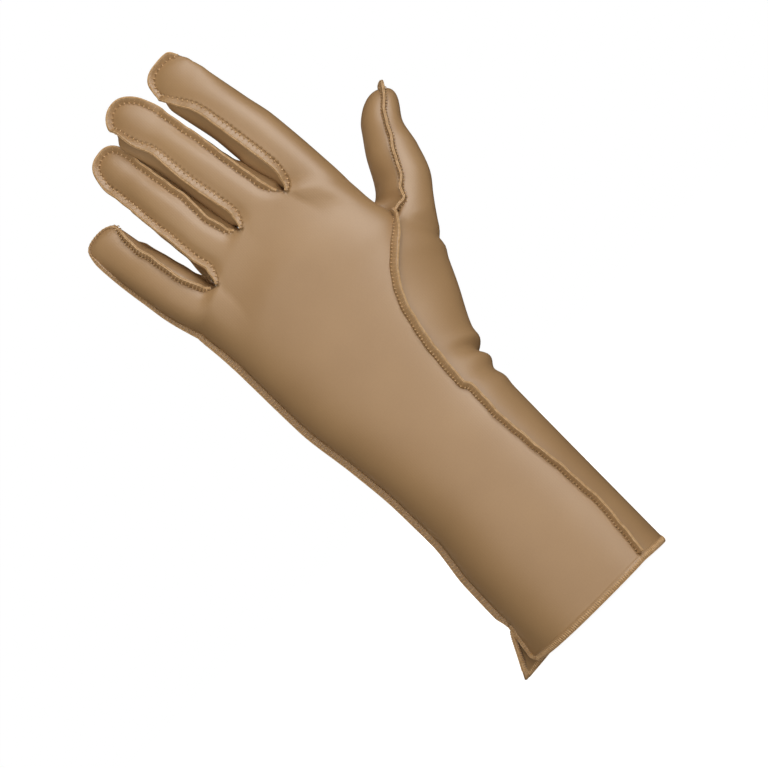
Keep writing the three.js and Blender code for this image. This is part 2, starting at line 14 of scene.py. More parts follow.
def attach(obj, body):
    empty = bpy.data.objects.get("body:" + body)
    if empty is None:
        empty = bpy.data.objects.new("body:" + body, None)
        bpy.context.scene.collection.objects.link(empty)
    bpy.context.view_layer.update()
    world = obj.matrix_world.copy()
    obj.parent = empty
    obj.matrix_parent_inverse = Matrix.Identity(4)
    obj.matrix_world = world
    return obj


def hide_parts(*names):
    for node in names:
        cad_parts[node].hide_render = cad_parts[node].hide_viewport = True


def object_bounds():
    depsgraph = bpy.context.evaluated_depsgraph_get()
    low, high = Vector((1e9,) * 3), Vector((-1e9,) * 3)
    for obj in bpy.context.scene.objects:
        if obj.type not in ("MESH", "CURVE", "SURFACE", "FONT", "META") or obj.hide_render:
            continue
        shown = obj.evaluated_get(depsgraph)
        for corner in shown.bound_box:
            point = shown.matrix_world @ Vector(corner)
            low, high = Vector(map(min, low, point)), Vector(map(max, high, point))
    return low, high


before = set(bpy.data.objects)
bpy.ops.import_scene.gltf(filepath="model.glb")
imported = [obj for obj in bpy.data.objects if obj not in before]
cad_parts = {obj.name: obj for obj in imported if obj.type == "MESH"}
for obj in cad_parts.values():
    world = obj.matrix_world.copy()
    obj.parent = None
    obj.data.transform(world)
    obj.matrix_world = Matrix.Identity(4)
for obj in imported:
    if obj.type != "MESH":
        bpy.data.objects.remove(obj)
CAD_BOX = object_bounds()

bl_info = {
    "name": "Compression glove",
    "version": (1, 0, 0),
    "blender": (4, 5, 0),
    "location": "3D View > Sidebar > Glove",
    "description": "Makes the panels, overlocked seams and stage of a compression glove",
    "category": "Object",
}

MM = 0.001

# Arm and hand: sides of the section (x), its depth to the back and to the palm, its mid-plane (y)
HAND = np.array(
    [  # z, ulnar, radial, back, palm, middle
        (0, -30.3, 33, 21.5, 21.5, 0),
        (40, -29.4, 33.3, 20.5, 20.5, 0),
        (60, -27.2, 33.6, 19.5, 20, 0),
        (78, -27.4, 33.7, 18.5, 19.5, 0),
        (100, -29.3, 35, 17, 21, 1),
        (125, -32.4, 40, 16, 21, 1),
        (150, -32.9, 46, 15, 17, 1),
        (157, -33, 47.3, 14.8, 16, 0.8),
        (166, -33.1, 45.6, 14.6, 15, 0.6),
        (170, -33.1, 45.1, 14.5, 14.5, 0.5),
        (196, -38, 44.5, 12, 12, 1),
    ]
)
SQUARE = 0.85  # below 1 the section is squarer than an ellipse
ULNAR_TURN = 90  # the side seam, in degrees round the section from the back
# Thumb-side edge of the back and of the palm, in degrees round the section. The seam has a jog
# at the wrist.
THUMB_EDGE = np.array(
    [  # z, back, palm
        (0, 37.5, 142),
        (28, 43.5, 137),
        (78, 32, 145),
        (91.4, 31.6, 145),
        (93.8, 28.6, 145),
        (106, 28, 144),
        (125, 29, 140),
        (140, 36.6, 134),
        (151, 60, 127),
        (156, 88, 124),
        (158.5, 112, 122),
        (161.5, 114, 118),
        (165.5, 111, 111),
        (176.6, 110, 110),
    ]
)
CALM_EDGE = ((125, 176.6), (29, 110))  # away from the edge the back's columns follow this slower turn
VENT_HEIGHT = 18  # open slit at the foot of the side seam
VENT_FLARE = {"back": 2.4, "palm": 10.5}  # how far the free corners stand out
VENT_STANDS = 1.6  # the vent edge of the back stands out, as the side seam above it does
VENT_REACH = 0.24  # share of the panel's width that flares
VENT_AT_ONCE = {"back": 0, "palm": 0.15}  # share of the flare that sets in at the head of the vent
VENT_ONSET = 20  # and how fast it does
CUFF_RISE = 2.0  # the cuff is a little shorter on the back
CUFF_RISE_TO = 40  # the height at which that has run out
WEB_HEIGHT = 156  # where the thumb is set in
FOLD_HEIGHT = 165.5  # from here up back and palm are one folded panel
TOP = 176.6  # where the fingers begin, at the thumb-side edge
WEB_LIFT = {"back": 2.1, "palm": 0}  # the back is drawn nearly flat from knuckle to knuckle
BLEND_FROM = 0.87  # from here up the hand turns into the finger bases
FINGER_LEAN = 0.08  # the fingers lean to the little finger side

FINGER_SQUARE = (0.88, 1.15)  # as SQUARE, at the base and at the tip
TIP_DEPTH = 2.5  # roundness of the tips seen from the side
TIP_RISE = 0.6  # share of the depth by which a tip is drawn to the back, so that the back is flat there
# Fingers: centre line, half width, half depth. The last row is the tip, the one before it the start
# of the rounding. span: share of the hand's width. slope: of the sections, at the base and at the tip.
# seams: degrees from the back of the finger, and the run to the side of the tip: its first and last
# share of the finger, and how late it comes.
EARLY = (0.2, 0.7, 1.5)  # the run of most seams
FINGERS = {
    "little": {
        "span": (0, 0.31),
        "roundness": 2.6,
        "slope": (0.47, 0.1),
        "seams": {
            "ulnar": {"back": -85, "palm": -85, "run": EARLY},
            "radial": {"back": 24, "palm": 130, "run": (0.3, 0.7789, 2.0)},
        },
        "sections": np.array(
            [  # z, x, y, half, deep
                (180, -27, 1.5, 8.1, 10),
                (194, -30.3, 1, 9.4, 8.6),
                (202, -31.9, 1.9, 9.2, 8.2),
                (208, -33.2, 3, 8.8, 7.8),
                (214, -34.6, 4.6, 8.1, 7.2),
                (221, -35.5, 6.5, 7.7, 6.7),
                (224.5, -35.8, 7.5, 7.4, 6.5),
                (229.4, -37.5, 9, 6.8, 6.4),
            ]
        ),
    },
    "ring": {
        "span": (0.31, 0.49),
        "roundness": 2.6,
        "slope": (0.43, 0.12),
        "seams": {
            "ulnar": {"back": -43, "palm": -130, "run": EARLY},
            "radial": {"back": 42, "palm": 130, "run": EARLY},
        },
        "sections": np.array(
            [  # z, x, y, half, deep
                (188.8, -6.9, 0.5, 10, 10.6),
                (204, -10.1, 0, 8.7, 9.2),
                (214, -10.8, 0.6, 8.6, 8.7),
                (222, -11.8, 1.8, 7.8, 8.2),
                (230, -12.9, 3.8, 6.9, 7.6),
                (239, -13.9, 6.4, 6.2, 6.8),
                (248.7, -14.7, 9, 6.1, 6.8),
            ]
        ),
    },
    "middle": {
        "span": (0.49, 0.67),
        "roundness": 2.4,
        "slope": (-0.07, 0.12),
        "seams": {
            "ulnar": {"back": -30, "palm": -130, "run": (0.5, 0.8421, 3.0)},
            "radial": {"back": 41, "palm": 130, "run": EARLY},
        },
        "sections": np.array(
            [  # z, x, y, half, deep
                (192.8, 14.1, 0, 10.9, 11),
                (206, 11.2, -0.5, 9.8, 9.7),
                (214, 9.7, -0.1, 9.8, 9.2),
                (222, 8.2, 0.8, 9.2, 8.9),
                (230, 7, 2.2, 8.5, 8.4),
                (238, 5.4, 3.9, 8.1, 7.8),
                (244, 3.3, 5.2, 8.3, 7.4),
                (258, 1.7, 8, 7.5, 7.1),
            ]
        ),
    },
    "index": {
        "span": (0.67, 1),
        "roundness": 2.5,
        "slope": (-0.7, 0.14),
        "seams": {
            "ulnar": {"back": -16, "palm": -140, "run": (0.53, 0.7, 2.0)},
            "radial": {"back": 110, "palm": 110, "run": EARLY},
        },
        "sections": np.array(
            [  # z, x, y, half, deep
                (184, 34.8, 0.5, 9.9, 10.6),
                (205, 32.4, 0, 10.4, 9.6),
                (214, 31.3, 0.3, 10.4, 9.2),
                (226, 29.5, 1.2, 9.8, 8.7),
                (238, 27.1, 3.4, 9.9, 8),
                (244, 26, 4.8, 10, 7.6),
                (247, 25.8, 5.6, 9.5, 7.4),
                (250, 25.8, 6.3, 8.7, 7.2),
                (257.4, 24.4, 8.5, 8.1, 7.1),
            ]
        ),
    },
}
NAMES = list(FINGERS)
FACES = ("back", "palm")
WEB_TURN = {"back": 38, "palm": 105}  # where the seams reach the webs, in degrees
WEB_RUN = 0.2  # share of the finger over which a seam leaves the web
WEB_FADE = 0.08  # share over which the webs draw the fingers together
ROUND_FROM = 0.7  # share of the rows below the rounding of a tip
NEAR_TIP = (0.45, 0.72)  # shares between which the section takes on the tip's form
SLOPE_RUN = 0.35  # share over which the sections turn from the line of the knuckles
# Where neighbouring side strips lie against each other: the line between them and how far up it goes
TOUCH = {
    "ring": {
        "z": (196, 206, 214, 222, 230, 238, 244, 250),
        "x": (1.9, 0.4, -1, -1.9, -3.3, -5.2, -6.8, -7.2),
        "to": (246, 251),
    },
    "middle": {"z": (196, 204, 208, 212, 222), "x": (25, 22.7, 21.7, 20.9, 20), "to": (209, 214)},
}
TOUCH_RUN = 0.06  # share of the finger over which they come together
TOUCH_OVER = 0.35  # how far each of them reaches past the line

# Thumb panel: the line of its outermost points, and half the angle that its section bends through
THUMB_SIDE = np.array(
    [  # z, x, y, at, bend
        (0, 33, 0, 0, 52),
        (40, 33.3, 0, 40, 48),
        (78, 33.7, 0.5, 78, 57),
        (93, 34.2, 1.5, 92.3, 60),
        (108, 38.4, 5, 106.5, 66),
        (125, 46.2, 8, 122, 72),
        (140, 52.4, 10, 135, 78),
        (150, 57.2, 11, 143.3, 84),
        (156, 60.9, 11.5, 149.3, 90),
    ]
)
# Folds across the thumb panel where the wrist bends: they slant to the fingers on the back
FOLDS = np.array(
    [  # z, rise, width, slant, and the stretch across the panel (-1 to 1) over which it sets in
        (104, 1.0, 2.6, -8, -1, -0.1),
        (99.7, -2.2, 2.2, -8, -1, -0.1),
        (95.5, 1.1, 2.4, -6, -1, -0.1),
        (90.5, -0.9, 2.4, -4, -1, -0.1),
        (85, 0.4, 2.6, -2, -1, -0.1),
        (155.4, 0.35, 1.6, 0, -0.1, -0.5),
        (144.4, -1.2, 2.1, -12, -1.2, -1),
        (140, 0.4, 2.2, -8, -1.2, -1),
    ]
)
# Thumb: centre line, half width to its outer side, half depth to the back
THUMB = np.array(
    [  # t, x, y, z, half, deep
        (0, 51, 11.5, 154.8, 11.3, 10),
        (0.25, 59.4, 14.5, 164.4, 10.9, 10),
        (0.5, 63.8, 18, 174, 10.1, 9.6),
        (0.75, 68.4, 22.5, 184.4, 8, 8.2),
        (1, 77.5, 28.5, 194, 7.7, 8.2),
    ]
)
# Its back seam, in degrees to the outer side: with a kink just above the web
THUMB_SEAM = np.array(
    [  # t, turn
        (0, 4),
        (0.03, 11),
        (0.05, 17.5),
        (0.08, 10),
        (0.115, 2),
        (0.18, 1),
        (0.3, -1),
        (0.55, 6),
        (0.8, 17),
        (1, 17),
    ]
)
THUMB_LEAN = np.radians(29)  # to the outer side
THUMB_PITCH = np.radians(30)  # to the palm
THUMB_LENGTH = 42  # from the web to the tip
THUMB_ROUND_FROM = 0.75
THUMB_ROUNDNESS = 2.8
THUMB_FADE = 0.2  # share of the thumb over which the web draws it in
THUMB_HOLLOW = 5.5  # how far its inner side falls back beside the seam above the web
HOLLOW_IN, HOLLOW_OUT = (0, 0.08), (0.12, 0.45)  # shares over which the hollow comes and goes
HOLLOW_WIDTH = 0.8  # share of the inner side that it takes up
EASE_ROWS, EASE_TIMES = 11, 60  # how widely and how often the panel is eased where the thumb begins
THUMB_OUT = np.array((np.cos(THUMB_LEAN), 0, -np.sin(THUMB_LEAN)))
THUMB_BACK = np.array(
    (
        np.sin(THUMB_PITCH) * np.sin(THUMB_LEAN),
        -np.cos(THUMB_PITCH),
        np.sin(THUMB_PITCH) * np.cos(THUMB_LEAN),
    )
)

# Seams: how far apart the points of their lines are, in seams and for their marks on the knit
LINE_STEP, MARK_STEP = 0.6, 0.8
SMOOTH_REACH = 10  # points on each side over which outward directions are smoothed
SAME = 1e-3  # points of a line that are nearer than this are one
WELD_STEPS = 200  # steps in 1 mm: points of the sheets in the same step are one
CHUNK = 2000  # points that are compared with the seams at a time
# Seams with close stitches. They mark the knit less, as if they lay this much further off.
CLOSE_SEAMS = {"side_seam": 0.5, "thumb_back_seam": 1.2, "thumb_palm_seam": 1.2}
# The knit turns up into a seam, with a shallow hollow beside it: rise, distance from the seam, width
RELIEF = ((0.35, 0, 0.8), (-0.1, 2.2, 1.2))
PALM_CLOTH = 200  # how far the palm's cloth lies beside the back's in the uv map
UNMARKED = 2.0  # a distance from the seams at which nothing marks the knit
BACK = np.array((0, -1, 0))
# Places (x, z) where a seam stands higher or lower, by a share of its height
LUMPS = {
    "index_back_seam": (((17.4, 252.4), -0.25), ((17.6, 249.6), -0.4), ((30.4, 256.4), 0.12)),
    "middle_back_seam": (((-5.3, 251), -0.4),),
    "side_seam": (((-29.2, 225.6), -0.1),),
    "thumb_back_seam": (((47.2, 156.7), 0.25), ((78.6, 194.4), 0.25)),
}
LUMP_WIDTH = 1.8
# Seams that are turned over on their way up: by how many degrees, to the ulnar side if positive,
# between which heights they stand up again, and their share at the start, which grows over a run
LEANS = {
    "index_back_seam": (50, (240, 255), 0.4, (6, 22)),
    "middle_back_seam": (42, (240, 256), 0.4, (6, 22)),
    "thumb_back_seam": (-30, (148, 157), 0, (50, 110)),
}
LEAN_TALLER = 0.12  # a seam that is turned over is a little higher
# Heights between which seams begin to stand up to the back, round the tips, and by how many degrees
STANDS = {"index_back_seam": (246, 252), "middle_back_seam": (242, 252), "ring_back_seam": (235, 244)}
STAND_TURN = 35
# Above the web the thumb's back seam stands up to the back: where that comes and goes, and its share
THUMB_STAND, THUMB_STAND_OUT, THUMB_STAND_SHARE = (151, 157), (164, 174), 0.8
# Height of the side seam on its way up, as a share: it lies low along the little finger and at its tip
SIDE_HEIGHT = np.array([(160, 1), (198, 0.5), (222, 0.5), (227, 0.2), (232, 0.2)])
SIDE_TIP, SIDE_TIP_RUN = 0.2, (6, 14)  # its share just past the tip, and where it grows again
# Shares of a seam's height at its start and end, and the run over which it falls to the end
LOW_ENDS = {
    "side_seam": (0.55, 0.2, 6),
    "index_back_seam": (0.35, 0.2, 3.6),
    "thumb_back_seam": (1, 1, 6),
    "thumb_palm_seam": (1, 0.2, 6),
}
LOW_END = (0.35, 0.2, 6)  # of all other seams
START_RUN = 6  # over which a seam rises from its start
# The sewing runs a little unevenly, in two waves: size, run and start
WOBBLE = ((0.18, 3.1, 0), (0.12, 1.37, 1))
# Sections of a seam's fin and of the cuff's band: across and out, in half widths and heights
FIN = np.array(
    [(-1.15, -0.1), (1.15, -0.1), (0.95, 0.25), (0.85, 0.6), (0.8, 0.85)]
    + [(0.45, 1), (-0.45, 1), (-0.8, 0.85), (-0.85, 0.6), (-0.95, 0.25)]
)
BAND = np.array([(-1, 0), (1, 0), (1.08, 0.5), (1, 0.9), (0.5, 1), (-0.5, 1), (-1, 0.9), (-1.08, 0.5)])
CUFF_OVER = 0.12  # how far the band lies over the wall on each side
CUFF_PAST = 0.2  # how far it reaches past the cut edge
CUFF_STITCH = 0.9
# Overlock thread, up a face of the edge and at its foot: places across and out, and slants in stitches
LOOP, LOOP_SLANT = ((1.18, 0.2), (1.02, 0.5), (0.95, 0.8), (0.6, 1)), 0.35
KNOT, KNOT_SLANT = ((0.0, 0.7), (0.25, 0.58), (0.55, 0.42), (0.8, 0.1)), 0.15
EDGE_WIDTH = 0.9  # of the sewn edge inside the thread, as a share
LOOPS = {"side_seam": 1.6, "cuff_edge": 2.0}  # thickness of the loops where they show most
FINE_LOOPS = 0.5  # and elsewhere
CHAIN = 1.3  # thickness of the chain along the top
TURN = np.linspace(0, 2 * np.pi, 5, endpoint=False)
CIRCLE = np.stack([np.cos(TURN), np.sin(TURN)], axis=-1)  # section of a thread
WAVE = 0.314159  # scale of a wave texture with one band to a mm
# Stage: half the floor's side, its gap below the glove, and the backdrop's radius
FLOOR, FLOOR_GAP, DOME = 3000.0, 0.3, 9000.0


def steps_through(marks, counts):
    """Values evenly spaced between neighbouring marks, each stretch in so many steps."""
    runs = [np.linspace(a, b, n, endpoint=False) for a, b, n in zip(marks, marks[1:], counts)]
    return np.concatenate([*runs, marks[-1:]])


# Rows and columns of the sheets
WEB_STEPS = 8  # rows along the web, from the seam to the fold
HEIGHT_STEPS = (12, 42, 40, 34, WEB_STEPS, 8)
HEIGHTS = steps_through((0, VENT_HEIGHT, 78, 112, WEB_HEIGHT, FOLD_HEIGHT, TOP), HEIGHT_STEPS)
VENT_ROW, WEB_ROW, FOLD_ROW = (sum(HEIGHT_STEPS[:k]) for k in (1, 4, 5))
SHARES = steps_through((0, 0.25, 0.6, ROUND_FROM, 1), (20, 26, 8, 19))
THUMB_SHARES = np.linspace(0, 1, 70)
STRIP_COLUMNS = 16
SIDE_COLUMNS = 8
THUMB_COLUMNS = 28


def mix(a, b, t):
    return a + (b - a) * t


def smooth(start, end, value):
    t = np.clip((value - start) / (end - start), 0, 1)
    return t * t * (3 - 2 * t)


def unit(vectors):
    return vectors / np.maximum(np.linalg.norm(vectors, axis=-1, keepdims=True), 1e-9)


def bell(value):
    return np.exp(-(value**2))


def heading(points):
    """Directions along a line, or along each of several lines."""
    return unit(np.gradient(points, axis=-2))


def square_to(run, vectors):
    """Directions without the part of them that runs along the line."""
    return unit(vectors - run * np.sum(vectors * run, axis=-1, keepdims=True))


def between(at, length, vectors):
    """Vectors that are given at lengths along a line, at other places on it."""
    return np.stack([np.interp(at, length, vectors[:, k]) for k in range(3)], axis=-1)


def columns_at(table, at):
    """The columns of a table at values of its first one: cubic curves through its rows.

    A curve's slope at a row is the harmonic mean of the slopes on both sides, and level at a
    turning point, so that nothing overshoots.
    """
    x, y = table[:, 0], table[:, 1:]
    secant = np.diff(y, axis=0) / np.diff(x)[:, None]
    before, after = secant[:-1], secant[1:]
    total = np.where(before + after == 0, 1, before + after)
    inside = np.where(before * after > 0, 2 * before * after / total, 0)
    slope = np.vstack([secant[:1], inside, secant[-1:]])
    at = np.asarray(at, float)
    i = np.clip(np.searchsorted(x, at) - 1, 0, len(x) - 2)
    span = x[i + 1] - x[i]
    t = np.clip((at - x[i]) / span, 0, 1)[..., None]
    span = span[..., None]
    rows = (
        y[i] * (1 + 2 * t) * (1 - t) ** 2
        + span * slope[i] * t * (1 - t) ** 2
        + y[i + 1] * t * t * (3 - 2 * t)
        + span * slope[i + 1] * t * t * (t - 1)
    )
    return np.moveaxis(rows, -1, 0)


def squared(degrees, power):
    """Sine and cosine with their sizes raised to a power: across and up on a squared circle."""
    sine, cosine = np.sin(np.radians(degrees)), np.cos(np.radians(degrees))
    return np.sign(sine) * np.abs(sine) ** power, np.sign(cosine) * np.abs(cosine) ** power


def hand_point(z, degrees):
    """The arm and hand at a height, round the section from the back: a squared ellipse."""
    ulnar, radial, back, palm, middle = columns_at(HAND, z)
    across, up = squared(degrees, SQUARE)
    x = mix(ulnar, radial, (across + 1) / 2)
    return np.stack([x, middle - np.where(up > 0, back, palm) * up, z + 0 * x], axis=-1)


def rounding(u, start, *roundness):
    """How far along a tip's rounding the share u is, and how much of the section is left there for
    each roundness."""
    along = np.sin(np.pi / 2 * np.clip((u - start) / (1 - start), 0, 1))
    return along, *(np.maximum(1 - along**r, 0) ** (1 / r) for r in roundness)


def finger_ring(finger, u, degrees):
    """A finger from its base (u 0) to its tip (u 1): squared ellipses along its centre line, which tilt
    to the line of the knuckles at the base and close in a rounded tip."""
    sections = finger["sections"]
    along, wide, thick = rounding(u, ROUND_FROM, finger["roundness"], TIP_DEPTH)
    z = mix(mix(sections[0, 0], sections[-2, 0], np.clip(u / ROUND_FROM, 0, 1)), sections[-1, 0], along)
    x, y, half, deep = columns_at(sections, z)
    near_tip = smooth(*NEAR_TIP, u)
    sine, cosine = squared(degrees, mix(*FINGER_SQUARE, near_tip))
    across = half * wide * sine
    slope = mix(*finger["slope"], smooth(0, SLOPE_RUN, u))
    raised = TIP_RISE * near_tip
    down = deep * thick * cosine * np.where(cosine > 0, 1 - raised, 1 + raised)
    lift = deep * (raised * thick + TIP_RISE * (1 - thick))
    return np.stack(np.broadcast_arrays(x + across, y - down - lift, z + slope * across), axis=-1)


def seam_turn(finger, side, face, u):
    """Where a seam of a finger lies at u, in degrees from the back: out of the web, along the finger,
    then to the side of the tip, where the sine of the angle grows to 1 as a power of the share."""
    angles = finger["seams"][side]
    sign = -1 if side == "ulnar" else 1
    folded = angles["back"] == angles["palm"]
    web = angles["back"] if folded else sign * WEB_TURN[face]
    turn = mix(web, angles[face], smooth(0, WEB_RUN, u))
    first, last, late = angles["run"]
    run = np.clip((u - first) / (last - first), 0, 1) ** late
    above = np.degrees(np.arcsin(mix(np.sin(np.radians(turn)), sign, run)))
    return np.where(np.abs(turn) > 90, sign * 180 - above, above)


def base_point(name, side, face):
    finger = FINGERS[name]
    start = np.array(0.0)
    return finger_ring(finger, start, seam_turn(finger, side, face, start))


# The web points between neighbouring fingers, and how far each finger's edge is drawn to reach them
WEBS = [
    {
        face: (base_point(a, "radial", face) + base_point(b, "ulnar", face)) / 2 - (0, WEB_LIFT[face], 0)
        for face in FACES
    }
    for a, b in zip(NAMES, NAMES[1:])
]
PULLS = {
    (name, side, face): WEBS[i - shift][face] - base_point(name, side, face)
    if 0 <= i - shift < len(WEBS)
    else np.zeros(3)
    for i, name in enumerate(NAMES)
    for side, shift in (("ulnar", 1), ("radial", 0))
    for face in FACES
}


def fade(u, run):
    return np.clip(1 - u / run, 0, 1)[..., None] ** 2


def strip_point(name, face, u, q):
    """The back or palm strip of a finger, q from its little finger side to its thumb side: the
    finger between its two seams, drawn to the webs at its base."""
    finger = FINGERS[name]
    turn = 360 if face == "palm" else 0
    degrees = mix(seam_turn(finger, "ulnar", face, u) + turn, seam_turn(finger, "radial", face, u), q)
    draw = mix(PULLS[name, "ulnar", face], PULLS[name, "radial", face], (q + 0 * u)[..., None])
    # only the strip's sides are lifted to the webs
    left, right = (name != NAMES[0]) * (1 - q), (name != NAMES[-1]) * q
    draw[..., 1] += WEB_LIFT[face] * (left - left**3 + right - right**3)
    return finger_ring(finger, u + 0 * q, degrees) + draw * fade(u + 0 * q, WEB_FADE)


def side_point(name, side, u, w):
    """The side strip of a finger, w from the back seam to the palm seam."""
    finger = FINGERS[name]
    gap = NAMES.index(name) - (side == "ulnar")
    web = WEBS[gap]

    def degrees(at):
        return mix(seam_turn(finger, side, "back", at), seam_turn(finger, side, "palm", at), w)

    start = np.zeros_like(u)
    draw = mix(web["back"], web["palm"], w[..., None]) - finger_ring(finger, start + 0 * w, degrees(start))
    point = finger_ring(finger, u + 0 * w, degrees(u)) + draw * fade(u + 0 * w, WEB_FADE)
    touch = TOUCH.get(NAMES[gap])
    if touch:
        z = point[..., 2]
        share = np.sin(np.pi * w) ** 2 * smooth(0, TOUCH_RUN, u) * (1 - smooth(*touch["to"], z))
        over = -TOUCH_OVER if side == "ulnar" else TOUCH_OVER
        point[..., 0] = mix(point[..., 0], np.interp(z, touch["z"], touch["x"]) + over, share)
    return point


def panel_point(name, face, height, q):
    """The back or palm below a finger: the hand's section at each height, turning into the finger's
    base near the top. The free corners at the vent stand out."""
    base = strip_point(name, face, np.zeros_like(q), q)
    share = height / TOP
    z = base[..., 2] * share
    across = mix(*FINGERS[name]["span"], q)
    edge = columns_at(THUMB_EDGE, height)[FACES.index(face)]
    start = 360 - ULNAR_TURN if face == "palm" else -ULNAR_TURN
    calm = np.interp(height, *CALM_EDGE) if face == "back" else edge
    calm = np.where(height > CALM_EDGE[0][0], calm, edge)
    point = hand_point(z, mix(start, calm, across) + (edge - calm) * across**4)
    lean = FINGER_LEAN * (base[..., 2] - z)
    below = np.stack(np.broadcast_arrays(base[..., 0] + lean, base[..., 1] + 0 * z, z), axis=-1)
    point = mix(point, below, smooth(BLEND_FROM, 1, share + 0 * q)[..., None])
    if face == "back":
        point[..., 2] += CUFF_RISE * np.clip(1 - height / CUFF_RISE_TO, 0, 1) ** 2
    below_vent = np.clip(1 - height / VENT_HEIGHT, 0, 1)
    at_once = VENT_AT_ONCE[face]
    free = at_once * (1 - np.exp(-VENT_ONSET * below_vent)) + (1 - at_once) * below_vent
    point[..., 0] -= free * np.clip(1 - across / VENT_REACH, 0, 1) ** 2 * VENT_FLARE[face]
    return point


def bend_point(left, apex, right, bend, w):
    """A section that bends from one edge (w -1) over an outermost point to the other edge (w 1)."""
    middle = (left + right) / 2
    out = (np.cos(bend * w) - np.cos(bend)) / (1 - np.cos(bend))
    along = np.sin(bend * w) / np.sin(bend) / 2
    return middle + (right - left) * along[..., None] + (apex - middle) * out[..., None]


def thumb_ring(t, degrees):
    """The thumb from the web (t 0) to its tip (t 1): ellipses along its centre line, leaning out
    and to the palm, that close in a rounded tip. 0 degrees is its back, 90 its outer side."""
    along, left = rounding(t, THUMB_ROUND_FROM, THUMB_ROUNDNESS)
    at = np.where(t < THUMB_ROUND_FROM, t, mix(THUMB_ROUND_FROM, 1, along))
    x, y, z, half, deep = columns_at(THUMB, at)
    angle = np.radians(degrees)
    centre = np.stack([x, y, z], axis=-1)
    return (
        centre
        + (deep * left * np.cos(angle))[..., None] * THUMB_BACK
        + (half * left * np.sin(angle))[..., None] * THUMB_OUT
    )


def web_edge(w):
    """The edge of the thumb's web: from the back (w 0) up to the fold and down on the palm (w 1)."""
    height = mix(WEB_HEIGHT, FOLD_HEIGHT, 1 - np.abs(2 * w - 1))
    edge = np.ones_like(w)
    back, palm = (panel_point("index", face, height, edge) for face in FACES)
    return np.where(w[..., None] <= 0.5, back, palm)


def inner_point(t, w):
    """The inner half of the thumb, w from its back seam to its palm seam, drawn to the web."""
    start = np.zeros_like(t)

    def degrees(at):
        return mix(columns_at(THUMB_SEAM, at)[0], -180, w)

    draw = web_edge(w) - thumb_ring(start + 0 * w, degrees(start))
    point = thumb_ring(t + 0 * w, degrees(t)) + draw * fade(t + 0 * w, THUMB_FADE)
    near = smooth(*HOLLOW_IN, t) * (1 - smooth(*HOLLOW_OUT, t))
    point[..., 1] += THUMB_HOLLOW * near * np.sin(np.pi * np.clip(w / HOLLOW_WIDTH, 0, 1)) ** 2
    return point


def gusset_point(height, w):
    """The thumb panel on the arm: it bends from the back edge over its outermost line to the palm
    edge."""
    x, y, at, bend = columns_at(THUMB_SIDE, height)
    edge = np.ones_like(height)
    back, palm = (panel_point("index", face, height, edge) for face in FACES)
    return bend_point(back, np.stack([x, y, at], axis=-1), palm, np.radians(bend), w)


def thumb_point(t, w):
    """The thumb panel on the thumb: its outer half, between the two seams."""
    edge = np.zeros_like(t)
    back, palm = inner_point(t, edge), inner_point(t, edge + 1)
    return bend_point(back, thumb_ring(t, edge + 90), palm, np.full_like(t, np.pi / 2), w)


def eased(gusset, thumb, across):
    """The thumb panel without a kink where the thumb begins: points near the join move to the middle
    of the points before and after them, again and again. The sewn edges stay."""
    points = np.concatenate([gusset, thumb[1:]])
    join = len(gusset) - 1
    near = bell((np.arange(1, len(points) - 1) - join) / EASE_ROWS)
    share = (near[:, None] * (1 - across**6))[..., None]
    for _ in range(EASE_TIMES):
        middle = (points[:-2] + points[2:]) / 2
        points[1:-1] += 0.5 * share * (middle - points[1:-1])
    return points[: join + 1], points[join:]


def folded(gusset, thumb, across):
    """The thumb panel with soft folds, which slant across it. Each is a ridge or a hollow with the
    section of a bell curve, and runs out at the seams."""
    points = np.concatenate([gusset, thumb[1:]])
    out = unit(np.cross(np.gradient(points, axis=1), np.gradient(points, axis=0)))
    height = np.concatenate([HEIGHTS[: len(gusset)], WEB_HEIGHT + THUMB_LENGTH * THUMB_SHARES[1:]])[:, None]
    total = 0
    for z, rise, width, slant, start, end in FOLDS:
        ridge = bell((height - z - slant * across) / width)
        total = total + rise * smooth(start, end, across) * ridge
    points = points + out * (total * (1 - across**4))[..., None]
    return points[: len(gusset)], points[len(gusset) - 1 :]


def grid(make, rows, columns, flip=False):
    """A sheet: make(row value, column value) on a grid, with rows up and columns to the thumb side.
    flip turns the columns round, so that faces still point outwards."""
    r, c = np.meshgrid(rows, columns, indexing="ij")
    points = make(r, c)
    return points[:, ::-1] if flip else points


def make_sheets():
    """Every sheet of the sewn glove as a grid of points, by panel and place."""
    q = np.linspace(0, 1, STRIP_COLUMNS + 1)
    w = np.linspace(0, 1, SIDE_COLUMNS + 1)
    sheets = {}
    for face in FACES:
        for name in NAMES:
            flip = face == "palm"
            sheets["hand", face, name] = grid(
                lambda r, c, n=name, f=face: panel_point(n, f, r, c), HEIGHTS, q, flip
            )
            sheets["finger", face, name] = grid(
                lambda r, c, n=name, f=face: strip_point(n, f, r, c), SHARES, q, flip
            )
    for pair in zip(NAMES, NAMES[1:]):
        for name, side in zip(pair, ("radial", "ulnar")):
            # a side strip ends where its two seams meet
            shares = SHARES[SHARES < FINGERS[name]["seams"][side]["run"][1] + 1e-3]
            sheets["side", side, name] = grid(
                lambda r, c, n=name, s=side: side_point(n, s, r, c), shares, w, side == "ulnar"
            )
    across = np.linspace(-1, 1, THUMB_COLUMNS + 1)
    gusset = grid(gusset_point, HEIGHTS[: WEB_ROW + 1], across)
    gusset, thumb = eased(gusset, grid(thumb_point, THUMB_SHARES, across), across)
    sheets["gusset"], sheets["thumb"] = folded(gusset, thumb, across)
    sheets["inner"] = grid(inner_point, THUMB_SHARES, np.linspace(0, 1, 2 * WEB_STEPS + 1), True)
    return sheets


